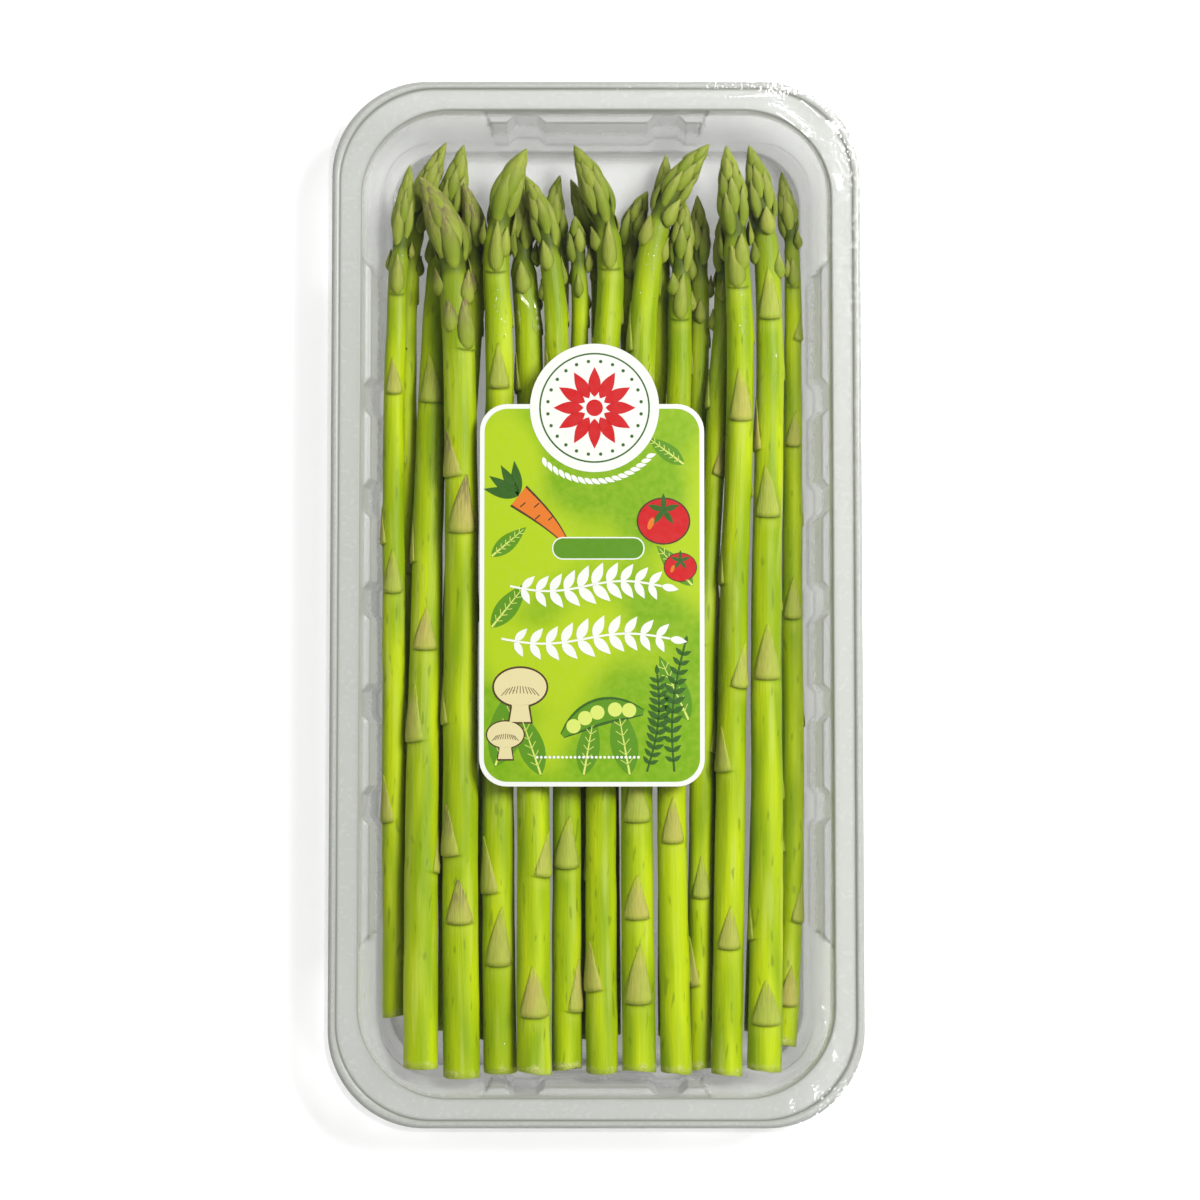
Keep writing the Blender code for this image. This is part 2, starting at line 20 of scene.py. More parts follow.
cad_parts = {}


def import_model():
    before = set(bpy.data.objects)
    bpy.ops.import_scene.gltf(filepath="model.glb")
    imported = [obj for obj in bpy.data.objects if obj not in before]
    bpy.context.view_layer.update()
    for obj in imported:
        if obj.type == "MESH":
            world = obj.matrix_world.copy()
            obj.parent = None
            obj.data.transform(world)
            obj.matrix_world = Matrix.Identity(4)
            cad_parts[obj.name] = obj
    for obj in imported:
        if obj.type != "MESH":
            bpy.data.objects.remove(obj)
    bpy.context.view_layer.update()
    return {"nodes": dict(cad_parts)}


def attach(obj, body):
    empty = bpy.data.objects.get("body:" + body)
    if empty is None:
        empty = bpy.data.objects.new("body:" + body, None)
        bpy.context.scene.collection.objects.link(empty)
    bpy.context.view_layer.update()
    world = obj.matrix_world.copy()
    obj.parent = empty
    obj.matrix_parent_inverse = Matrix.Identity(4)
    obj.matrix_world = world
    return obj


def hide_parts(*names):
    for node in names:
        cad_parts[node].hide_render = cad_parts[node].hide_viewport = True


MM = 0.001
GOLDEN_ANGLE = math.pi * (3 - math.sqrt(5))
BODY = "root"

log = logging.getLogger("asparagus")

Colour = tuple[float, float, float, float]


def pigment(red: int, green: int, blue: int) -> Colour:
    """A colour for a shader socket from its screen values.

    Args:
        red: Red, 0 to 255.
        green: Green, 0 to 255.
        blue: Blue, 0 to 255.

    Returns:
        The colour in linear light, with full alpha.
    """
    shares = (value / 255 for value in (red, green, blue))
    return (*(s / 12.92 if s <= 0.04045 else ((s + 0.055) / 1.055) ** 2.4 for s in shares), 1.0)


def smooth_step(value: np.ndarray | float, low: float, high: float) -> np.ndarray:
    """Rises smoothly from 0 at low to 1 at high.

    Args:
        value: Where it is read.
        low: Where it starts to rise.
        high: Where it has risen.

    Returns:
        The share, from 0 to 1.
    """
    share = np.clip((np.asarray(value, float) - low) / (high - low), 0, 1)
    return share * share * (3 - 2 * share)


def smooth_through(places: np.ndarray, values: np.ndarray, at: np.ndarray) -> np.ndarray:
    """A smooth curve through values at rising places.

    Args:
        places: The rising places of the values.
        values: The values there.
        at: The places where the curve is read.

    Returns:
        The curve's value at each place in at.
    """
    places, values, at = (np.asarray(v, float) for v in (places, values, at))
    slopes = np.gradient(values, places)
    k = np.clip(np.searchsorted(places, at) - 1, 0, len(places) - 2)
    width = places[k + 1] - places[k]
    t = (at - places[k]) / width
    return (
        (2 * t**3 - 3 * t**2 + 1) * values[k]
        + (t**3 - 2 * t**2 + t) * width * slopes[k]
        + (3 * t**2 - 2 * t**3) * values[k + 1]
        + (t**3 - t**2) * width * slopes[k + 1]
    )


def ripple(seed: float, *places: np.ndarray) -> np.ndarray:
    """Gentle irregular waves, the same each time for a seed.

    Args:
        seed: Picks the waves.
        places: Coordinates, one array each, about one wave to every 6 units.

    Returns:
        A value for each place, mostly between -1 and 1.
    """
    total = np.zeros(np.broadcast(*places).shape)
    for k in range(4):
        phase = seed * (1.7 + k) + 2.1 * k
        turned = sum(place * math.cos(seed * 3.1 + 1.3 * k + 2.4 * n) for n, place in enumerate(places))
        total += np.sin(turned * (0.8 + 0.55 * k) + phase) / (1.5 + k)
    return total


class Surface:
    """Points, faces and per-point values gathered for one mesh."""

    def __init__(self, *names: str) -> None:
        """Starts an empty surface.

        Args:
            names: The per-point values that it carries, each 0 where a point isn't given one.
        """
        self.points: list[np.ndarray] = []
        self.faces: list[list[int]] = []
        self.inks: list[int] = []
        self.values: dict[str, list[np.ndarray]] = {name: [] for name in names}
        self.count = 0

    def add_points(self, points: np.ndarray, **values: np.ndarray | float) -> np.ndarray:
        """Adds points.

        Args:
            points: Their places, in an array of any shape that ends in 3.
            values: Per-point values by name, each one number or an array of the points' shape.

        Returns:
            The points' indices, in their own shape.
        """
        shape = points.shape[:-1]
        many = int(np.prod(shape))
        self.points.append(points.reshape(-1, 3))
        for name, kept in self.values.items():
            kept.append(np.broadcast_to(np.asarray(values.get(name, 0.0), float), shape).reshape(-1))
        start = self.count
        self.count += many
        return start + np.arange(many).reshape(shape)

    def stitch(self, index: np.ndarray, wrap: bool = False, ink: int = 0) -> None:
        """Adds quads over a grid of points.

        Args:
            index: The points' indices, in rows and columns.
            wrap: True where the last column joins the first.
            ink: The material slot.
        """
        if wrap:
            index = np.concatenate([index, index[:, :1]], axis=1)
        quads = np.stack([index[:-1, :-1], index[:-1, 1:], index[1:, 1:], index[1:, :-1]], axis=-1).reshape(-1, 4)
        self.faces += quads.tolist()
        self.inks += [ink] * len(quads)

    def fan(self, ring: np.ndarray, centre: int, ink: int = 0) -> None:
        """Adds triangles from each edge of a closed ring to one point.

        Args:
            ring: The ring's indices.
            centre: The index of the point in its middle.
            ink: The material slot.
        """
        for first, second in zip(ring, np.roll(ring, -1)):
            self.faces.append([int(first), int(second), int(centre)])
            self.inks.append(ink)

    def polygon(self, ring: np.ndarray, ink: int = 0) -> None:
        """Adds one face with a corner at each of the ring's points."""
        self.faces.append([int(k) for k in ring])
        self.inks.append(ink)

    def build(self, name: str, *materials: bpy.types.Material, turn: bool = True) -> bpy.types.Object:
        """Makes the object.

        Args:
            name: The object's name.
            materials: One for each material slot.
            turn: True to turn every face outwards.

        Returns:
            The object, smooth shaded, with its values as point attributes.
        """
        mesh = bpy.data.meshes.new(name)
        mesh.from_pydata(np.concatenate(self.points).tolist(), [], self.faces)
        for material in materials:
            mesh.materials.append(material)
        if len(materials) > 1:
            mesh.polygons.foreach_set("material_index", self.inks)
        for value_name, kept in self.values.items():
            attribute = mesh.attributes.new(value_name, "FLOAT", "POINT")
            attribute.data.foreach_set("value", np.concatenate(kept).astype(np.float32))
        if turn:
            work = bmesh.new()
            work.from_mesh(mesh)
            bmesh.ops.recalc_face_normals(work, faces=work.faces)
            work.to_mesh(mesh)
            work.free()
        mesh.polygons.foreach_set("use_smooth", [True] * len(mesh.polygons))
        mesh.update()
        piece = bpy.data.objects.new(name, mesh)
        bpy.context.scene.collection.objects.link(piece)
        return piece


def thicken(piece: bpy.types.Object, thickness: float) -> None:
    """Gives an open sheet its thickness, in the mesh itself, on the lower side of its last face.

    Args:
        piece: The sheet.
        thickness: Its thickness.
    """
    up = piece.data.polygons[len(piece.data.polygons) - 1].normal.z > 0
    solid = piece.modifiers.new("thickness", "SOLIDIFY")
    solid.thickness = thickness
    solid.offset = -1 if up else 1
    solid.use_even_offset = False
    graph = bpy.context.evaluated_depsgraph_get()
    thick = bpy.data.meshes.new_from_object(piece.evaluated_get(graph))
    piece.modifiers.clear()
    thin = piece.data
    piece.data = thick
    bpy.data.meshes.remove(thin)
    thick.name = piece.name


# ---------------------------------------------------------------- node wiring


class Wiring:
    """Adds nodes to one node tree and joins them up."""

    def __init__(self, tree: bpy.types.NodeTree) -> None:
        """Keeps the tree that the nodes go into."""
        self.tree = tree

    def feed(self, socket: bpy.types.NodeSocket, value: object) -> None:
        """Links a socket to value where value is a socket, and else sets it.

        Args:
            socket: The input.
            value: Another node's output, or a plain value.
        """
        if isinstance(value, bpy.types.NodeSocket):
            self.tree.links.new(value, socket)
        else:
            socket.default_value = value

    def add(self, kind: str, feeds: dict[str | int, object] | None = None, **settings: object) -> bpy.types.Node:
        """Adds a node.

        Args:
            kind: The node's type, after ShaderNode.
            feeds: What goes into its inputs, by name or number.
            settings: Its own settings.

        Returns:
            The node.
        """
        node = self.tree.nodes.new(f"ShaderNode{kind}")
        for name, value in settings.items():
            setattr(node, name, value)
        self.plug(node, feeds or {})
        return node

    def plug(self, node: bpy.types.Node, feeds: dict[str | int, object]) -> None:
        """Feeds several of a node's inputs, given by name or number."""
        for socket, value in feeds.items():
            self.feed(node.inputs[socket], value)

    def value(self, name: str) -> bpy.types.NodeSocket:
        """A point value of the mesh."""
        return self.add("Attribute", attribute_name=name).outputs["Fac"]

    def math(self, operation: str, *terms: object, clamp: bool = False) -> bpy.types.NodeSocket:
        """A sum or other operation on numbers."""
        node = self.add("Math", dict(enumerate(terms)), operation=operation, use_clamp=clamp)
        return node.outputs[0]

    def ramp(
        self, value: object, low: float, high: float, start: float = 0.0, end: float = 1.0
    ) -> bpy.types.NodeSocket:
        """Maps a number smoothly from low..high to start..end."""
        feeds = {0: value, 1: low, 2: high, 3: start, 4: end}
        return self.add("MapRange", feeds, interpolation_type="SMOOTHSTEP").outputs[0]

    def blend(self, share: object, first: object, second: object, how: str = "MIX") -> bpy.types.NodeSocket:
        """Mixes two colours."""
        return self.add("Mix", {0: share, 6: first, 7: second}, data_type="RGBA", blend_type=how).outputs[2]

    def noise(self, vector: object, scale: object, detail: float = 2.0, rough: float = 0.5) -> bpy.types.NodeSocket:
        """Soft noise, about 0.3 to 0.7."""
        feeds = {"Vector": vector, "Scale": scale, "Detail": detail, "Roughness": rough}
        return self.add("TexNoise", feeds).outputs[0]

    def stretched(self, vector: object, x: object, y: object, z: object) -> bpy.types.NodeSocket:
        """A vector with each of its numbers multiplied."""
        factors = self.add("CombineXYZ", {0: x, 1: y, 2: z}).outputs[0]
        return self.add("VectorMath", {0: vector, 1: factors}, operation="MULTIPLY").outputs[0]

    def group(self, group: bpy.types.NodeTree, feeds: dict[str, object]) -> bpy.types.Node:
        """Places a node group with its own values.

        Args:
            group: The group.
            feeds: What goes into its inputs, by name.

        Returns:
            The group's node.
        """
        node = self.tree.nodes.new("ShaderNodeGroup")
        node.node_tree = group
        self.plug(node, feeds)
        return node


@dataclass(frozen=True)
class Effect:
    """A node group that several materials share: its inputs, with None for a vector's value, and its outputs."""

    name: str
    inputs: dict[str, float | None]
    outputs: tuple[str, ...]

    def start(self) -> tuple[bpy.types.NodeTree, Wiring, bpy.types.Node, bpy.types.Node]:
        """Makes the empty group.

        Returns:
            The group, its wiring, its input node and its output node.
        """
        tree = bpy.data.node_groups.new(self.name, "ShaderNodeTree")
        for name, value in self.inputs.items():
            kind = "NodeSocketVector" if value is None else "NodeSocketFloat"
            socket = tree.interface.new_socket(name=name, in_out="INPUT", socket_type=kind)
            if value is not None:
                socket.default_value = value
        for name in self.outputs:
            tree.interface.new_socket(name=name, in_out="OUTPUT", socket_type="NodeSocketFloat")
        return tree, Wiring(tree), tree.nodes.new("NodeGroupInput"), tree.nodes.new("NodeGroupOutput")


class Effects:
    """The shared effects, each built once."""

    def __init__(self) -> None:
        """Builds them all."""
        self.fibres = self._fibres()
        self.mottle = self._mottle()
        self.handling = self._handling()

    @staticmethod
    def _fibres() -> bpy.types.NodeTree:
        """Fine streaks that run along Z of the vector.

        Returns:
            A group with inputs Vector, Fineness and Length, and outputs Mask and Height.
        """
        effect = Effect("fibres", {"Vector": None, "Fineness": 1.0, "Length": 20.0}, ("Mask", "Height"))
        tree, wiring, given, made = effect.start()
        fineness = given.outputs["Fineness"]
        along = wiring.math("DIVIDE", fineness, given.outputs["Length"])
        vector = wiring.stretched(given.outputs["Vector"], fineness, fineness, along)
        coarse = wiring.noise(vector, 1.0, 1.0, 0.6)
        fine = wiring.noise(vector, 3.1, 0.0, 0.5)
        wiring.feed(made.inputs["Mask"], wiring.ramp(coarse, 0.36, 0.64))
        wiring.feed(made.inputs["Height"], wiring.math("ADD", coarse, wiring.math("MULTIPLY", fine, 0.5)))
        return tree

    @staticmethod
    def _mottle() -> bpy.types.NodeTree:
        """Soft blotches.

        Returns:
            A group with inputs Vector, Size and Contrast, and output Mask.
        """
        effect = Effect("mottle", {"Vector": None, "Size": 5.0, "Contrast": 1.0}, ("Mask",))
        tree, wiring, given, made = effect.start()
        scale = wiring.math("DIVIDE", 1.0, given.outputs["Size"])
        noise = wiring.noise(given.outputs["Vector"], scale, 1.0, 0.55)
        centred = wiring.math("SUBTRACT", noise, 0.5)
        spread = wiring.math("MULTIPLY", centred, wiring.math("MULTIPLY", given.outputs["Contrast"], 3.0))
        wiring.feed(made.inputs["Mask"], wiring.math("ADD", spread, 0.5, clamp=True))
        return tree

    @staticmethod
    def _handling() -> bpy.types.NodeTree:
        """The faint scuffs and unevenness of thin clear sheet.

        Returns:
            A group with inputs Vector, Scuffs, Gloss and Crinkle, and outputs Height and Roughness.
        """
        inputs = {"Vector": None, "Scuffs": 0.3, "Gloss": 0.1, "Crinkle": 0.0}
        effect = Effect("sheet handling", inputs, ("Height", "Roughness"))
        tree, wiring, given, made = effect.start()
        broad = wiring.noise(given.outputs["Vector"], 60.0, 0.0, 0.5)
        fine = wiring.noise(given.outputs["Vector"], 900.0, 0.0, 0.6)
        height = wiring.math("ADD", broad, wiring.math("MULTIPLY", fine, 0.03))
        tight = wiring.noise(given.outputs["Vector"], 1300.0, 0.0, 0.5)
        wiring.feed(made.inputs["Height"], wiring.math("MULTIPLY_ADD", tight, given.outputs["Crinkle"], height))
        rough = wiring.math("MULTIPLY", wiring.ramp(fine, 0.4, 0.8), given.outputs["Scuffs"])
        duller = wiring.math("MULTIPLY", rough, 0.3)
        wiring.feed(made.inputs["Roughness"], wiring.math("ADD", given.outputs["Gloss"], duller))
        return tree


def new_material(name: str) -> tuple[bpy.types.Material, Wiring, bpy.types.Node]:
    """Makes a material with its own shader.

    Args:
        name: The material's name.

    Returns:
        The material, its wiring and its Principled shader.
    """
    material = bpy.data.materials.new(name)
    material.use_nodes = True
    return material, Wiring(material.node_tree), material.node_tree.nodes["Principled BSDF"]


# ---------------------------------------------------------------- finishes


@dataclass(frozen=True)
class SpearSkin:
    """The living skin of a spear: waxy green stem, scales, papery bracts and the pale cut end, with painted shade in
    its creases and seams.
    """

    lit: Colour = pigment(180, 200, 0)
    deep: Colour = pigment(134, 162, 0)
    bloom: Colour = pigment(188, 200, 92)
    bruise: Colour = pigment(96, 120, 0)
    head: Colour = pigment(118, 138, 28)
    scale: Colour = pigment(150, 162, 60)
    scale_tip: Colour = pigment(170, 174, 92)
    # The colour of the painted shade in the seams between scales and in the creases under the bracts
    seam_shade: Colour = pigment(58, 74, 12)
    purple: Colour = pigment(112, 88, 76)
    papery: Colour = pigment(164, 176, 68)
    tan: Colour = pigment(190, 172, 96)
    root: Colour = pigment(176, 192, 54)
    cut: Colour = pigment(196, 200, 128)
    fibre: Colour = pigment(150, 152, 70)

    def build(self, effects: Effects) -> bpy.types.Material:
        """Wires the material.

        Args:
            effects: The shared effects.

        Returns:
            The material.
        """
        material, wiring, shader = new_material("spear skin")
        places = {k: wiring.value(name) for k, name in enumerate(("skin_x", "skin_y", "from_tip"))}
        vector = wiring.add("CombineXYZ", places).outputs[0]
        long_vector = wiring.stretched(vector, 1.0, 1.0, 0.16)
        patches = wiring.group(effects.mottle, {"Vector": long_vector, "Size": 5.0, "Contrast": 1.1}).outputs["Mask"]
        fine = wiring.group(effects.fibres, {"Vector": vector, "Fineness": 1.6, "Length": 22.0})
        leaf_fine = wiring.group(effects.fibres, {"Vector": vector, "Fineness": 3.2, "Length": 9.0})

        stem = wiring.blend(patches, self.deep, self.lit)
        stem = wiring.blend(wiring.math("MULTIPLY", fine.outputs["Mask"], 0.16), stem, self.deep)
        dust = wiring.noise(wiring.stretched(vector, 0.42, 0.42, 0.035), 1.0, 1.0, 0.6)
        stem = wiring.blend(wiring.ramp(dust, 0.56, 0.72, 0.0, 0.36), stem, self.bloom)
        marks = wiring.noise(wiring.stretched(vector, 0.9, 0.9, 0.22), 1.0, 0.0, 0.5)
        stem = wiring.blend(wiring.ramp(marks, 0.70, 0.80, 0.0, 0.5), stem, self.bruise)
        stem = wiring.blend(wiring.math("MULTIPLY", wiring.value("headness"), 0.85), stem, self.head)
        stem = wiring.blend(wiring.math("MULTIPLY", wiring.value("under_bract"), 0.35), stem, self.root)

        along, across = wiring.value("along"), wiring.value("across")
        # Each scale darkens towards its sides: painted shade in the seams between the scales
        edge = wiring.math("POWER", wiring.math("ABSOLUTE", across), 3.0)
        green_scale = wiring.blend(wiring.value("tint"), self.head, self.scale)
        green_scale = wiring.blend(wiring.ramp(along, 0.35, 1.0, 0.0, 0.7), green_scale, self.scale_tip)
        green_scale = wiring.blend(wiring.math("MULTIPLY", edge, 0.6), green_scale, self.seam_shade)
        dry = wiring.blend(wiring.math("MULTIPLY", wiring.value("tint"), patches), self.papery, self.tan)
        dry = wiring.blend(wiring.ramp(along, 0.55, 1.0, 0.0, 0.6), dry, self.lit)
        leaf = wiring.blend(wiring.value("papery"), green_scale, dry)
        leaf = wiring.blend(wiring.math("MULTIPLY", leaf_fine.outputs["Mask"], 0.22), leaf, self.head)
        flushed = wiring.math("MULTIPLY", wiring.value("flush"), wiring.ramp(along, 0.15, 0.95))
        flushed = wiring.math("MULTIPLY", flushed, wiring.ramp(leaf_fine.outputs["Mask"], 0.1, 0.8, 0.35, 1.0))
        leaf = wiring.blend(flushed, leaf, self.purple)
        leaf = wiring.blend(wiring.ramp(along, 0.0, 0.2, 0.3, 0.0), leaf, self.root)

        colour = wiring.blend(wiring.value("leaf"), stem, leaf)
        pith = wiring.noise(vector, 2.4, 1.0, 0.6)
        end = wiring.blend(wiring.ramp(pith, 0.45, 0.62), self.cut, self.fibre)
        colour = wiring.blend(wiring.value("cut"), colour, end)
        # Painted shade from the shade value: the dark crease under each bract and the dark stem between the head's
        # scales
        colour = wiring.blend(wiring.value("shade"), colour, self.seam_shade)

        rough = wiring.math("MULTIPLY_ADD", patches, 0.10, 0.44)
        rough = wiring.math("MULTIPLY_ADD", wiring.value("leaf"), 0.12, rough)
        rough = wiring.math("MULTIPLY_ADD", wiring.value("cut"), 0.3, rough)

        height = wiring.math("MULTIPLY_ADD", leaf_fine.outputs["Height"], wiring.value("leaf"), fine.outputs["Height"])
        bump = wiring.add("Bump", {"Height": height, "Distance": 0.12 * MM, "Strength": 0.7}).outputs["Normal"]
        feeds = {"Base Color": colour, "Roughness": rough, "Specular IOR Level": 0.2, "Normal": bump}
        wiring.plug(shader, feeds)
        return material


@dataclass(frozen=True)
class ClearSheet:
    """Thin clear plastic: seen through face on, denser where it turns away, and dull at its bends, where dark lines of
    painted shade run.
    """

    name: str
    tone: Colour
    facing_alpha: float
    edge_alpha: float
    gloss: float
    scuffs: float
    bump: float
    metallic: float
    gauge: float = 0.0
    # The colour of the painted shade in the dark lines along the sheet's bends
    bend: Colour = pigment(84, 86, 72)
    bend_alpha: float = 0.0

    def build(self, effects: Effects) -> bpy.types.Material:
        """Wires the material.

        Args:
            effects: The shared effects.

        Returns:
            The material.
        """
        material, wiring, shader = new_material(self.name)
        place = wiring.add("TexCoord").outputs["Object"]
        feeds = {"Vector": place, "Scuffs": self.scuffs, "Gloss": self.gloss, "Crinkle": wiring.value("crinkle")}
        handled = wiring.group(effects.handling, feeds)
        bump = wiring.add("Bump", {"Height": handled.outputs["Height"], "Distance": self.bump, "Strength": 0.5})
        tone, rough = self.tone, handled.outputs["Roughness"]
        turned = wiring.add("LayerWeight", {"Blend": 0.5}).outputs["Facing"]
        steep = wiring.math("POWER", turned, 3.0)
        alpha = wiring.math("MULTIPLY_ADD", steep, self.edge_alpha - self.facing_alpha, self.facing_alpha)
        if self.gauge:
            alpha = wiring.math("MULTIPLY_ADD", wiring.value("gauge"), self.gauge, alpha)
        # Dark lines of painted shade along the bends, denser and duller there
        if self.bend_alpha:
            bent = wiring.value("bent")
            tone = wiring.blend(bent, self.tone, self.bend)
            rough = wiring.math("MULTIPLY_ADD", bent, 0.5, rough)
            alpha = wiring.math("MULTIPLY_ADD", bent, self.bend_alpha, alpha, clamp=True)
        feeds = {"Base Color": tone, "Metallic": self.metallic, "Roughness": rough, "Alpha": alpha}
        wiring.plug(shader, feeds | {"Normal": bump.outputs["Normal"]})
        return material


TRAY_PLASTIC = ClearSheet(
    "clear tray", pigment(198, 200, 194), facing_alpha=0.24, edge_alpha=0.50, gloss=0.18, scuffs=0.4, bump=0.05 * MM,
    metallic=0.0, gauge=0.36, bend_alpha=0.7,
)
CLEAR_FILM = ClearSheet(
    "clear film", pigment(245, 245, 245), facing_alpha=0.055, edge_alpha=0.30, gloss=0.10, scuffs=0.3, bump=0.04 * MM,
    metallic=1.0,
)
WATER = ClearSheet(
    "water", pigment(240, 244, 236), facing_alpha=0.20, edge_alpha=0.9, gloss=0.10, scuffs=0.0, bump=0.0, metallic=1.0
)


@dataclass(frozen=True)
class PrintedPaper:
    """Coated label paper in one ink, or in two that run into each other in soft waves."""

    name: str
    ink: Colour
    second_ink: Colour | None = None
    gloss: float = 0.34

    def build(self, effects: Effects) -> bpy.types.Material:
        """Wires the material.

        Args:
            effects: The shared effects.

        Returns:
            The material.
        """
        material, wiring, shader = new_material(self.name)
        place = wiring.add("TexCoord").outputs["Object"]
        grain = wiring.group(effects.mottle, {"Vector": place, "Size": 0.0016, "Contrast": 0.8}).outputs["Mask"]
        if self.second_ink:
            broad = wiring.group(effects.mottle, {"Vector": place, "Size": 0.034, "Contrast": 1.5}).outputs["Mask"]
            parts = wiring.add("SeparateXYZ", {0: place})
            slope = wiring.math("MULTIPLY_ADD", parts.outputs["Y"], -8.0, broad)
            colour = wiring.blend(wiring.ramp(slope, 0.2, 0.85), self.ink, self.second_ink)
        else:
            colour = self.ink
        darker = tuple(0.93 * c for c in self.ink[:3]) + (1.0,)
        colour = wiring.blend(wiring.math("MULTIPLY", grain, 0.25), colour, darker)
        rough = wiring.math("MULTIPLY_ADD", grain, 0.08, self.gloss)
        bump = wiring.add("Bump", {"Height": grain, "Distance": 0.02 * MM, "Strength": 0.3}).outputs["Normal"]
        wiring.plug(shader, {"Base Color": colour, "Roughness": rough, "Normal": bump})
        return material


# ---------------------------------------------------------------- spears


class Layer(Enum):
    """Which layer of the bundle a spear lies in, with how finely its skin is cut: sides, and row pitch."""

    UPPER = (34, 1.6 * MM)
    LOWER = (22, 2.6 * MM)


@dataclass(frozen=True)
class LeafShape:
    """A scale's outline and swell at seven places from its root to its point, in shares and metres."""

    widths: tuple[float, ...]
    lifts: tuple[float, ...]
    drops: tuple[float, ...]
    arc: float
    keel: float
    thickness: float
    papery: float


def in_mm(*values: float) -> tuple[float, ...]:
    """Millimetres as metres."""
    return tuple(value * MM for value in values)


class Leaf(Enum):
    """The kinds of scale that a spear grows, from its tip down to its cut end."""

    SCALE = LeafShape(
        (0.70, 0.90, 1.0, 0.92, 0.68, 0.36, 0.05),
        in_mm(-0.95, -0.35, 0.26, 0.42, 0.34, 0.22, 0.32),
        in_mm(0.30, 0.50, 0.68, 0.68, 0.54, 0.30, 0.10),
        0.6 * MM, 0.12 * MM, 0.22 * MM, 0.0,
    )
    BUD = LeafShape(
        (0.60, 0.90, 1.0, 0.88, 0.60, 0.28, 0.04),
        in_mm(0.30, 1.00, 1.25, 1.05, 0.70, 0.40, 0.36),
        in_mm(0.20, 0.90, 1.15, 0.95, 0.55, 0.22, 0.08),
        0.8 * MM, 0.10 * MM, 0.24 * MM, 0.2,
    )
    BRACT = LeafShape(
        (1.0, 0.95, 0.80, 0.60, 0.40, 0.20, 0.04),
        in_mm(0.44, 0.56, 0.44, 0.32, 0.25, 0.19, 0.24),
        in_mm(0.10, 0.22, 0.22, 0.18, 0.13, 0.08, 0.05),
        0.5 * MM, 0.05 * MM, 0.15 * MM, 1.0,
    )


# Where a scale's shape is given, as shares of its length, and how finely its mesh is cut
LEAF_STATIONS = (0.0, 0.12, 0.30, 0.50, 0.70, 0.88, 1.0)
LEAF_ROWS, LEAF_COLUMNS = 12, 9
# The stem's closer rings, in millimetres from the root of a bract and from the last ring before the cut
STEP_ROWS = (-1.4, -0.8, -0.45, -0.2, 0.0, 0.2, 0.45, 0.85, 1.5)
END_ROWS = (-2.6, -2.1, -1.6, -1.2, -0.8, -0.4)
SKIN_VALUES = (
    "skin_x", "skin_y", "from_tip", "headness", "under_bract", "leaf", "papery", "along", "across", "tint", "flush",
    "cut", "shade",
)


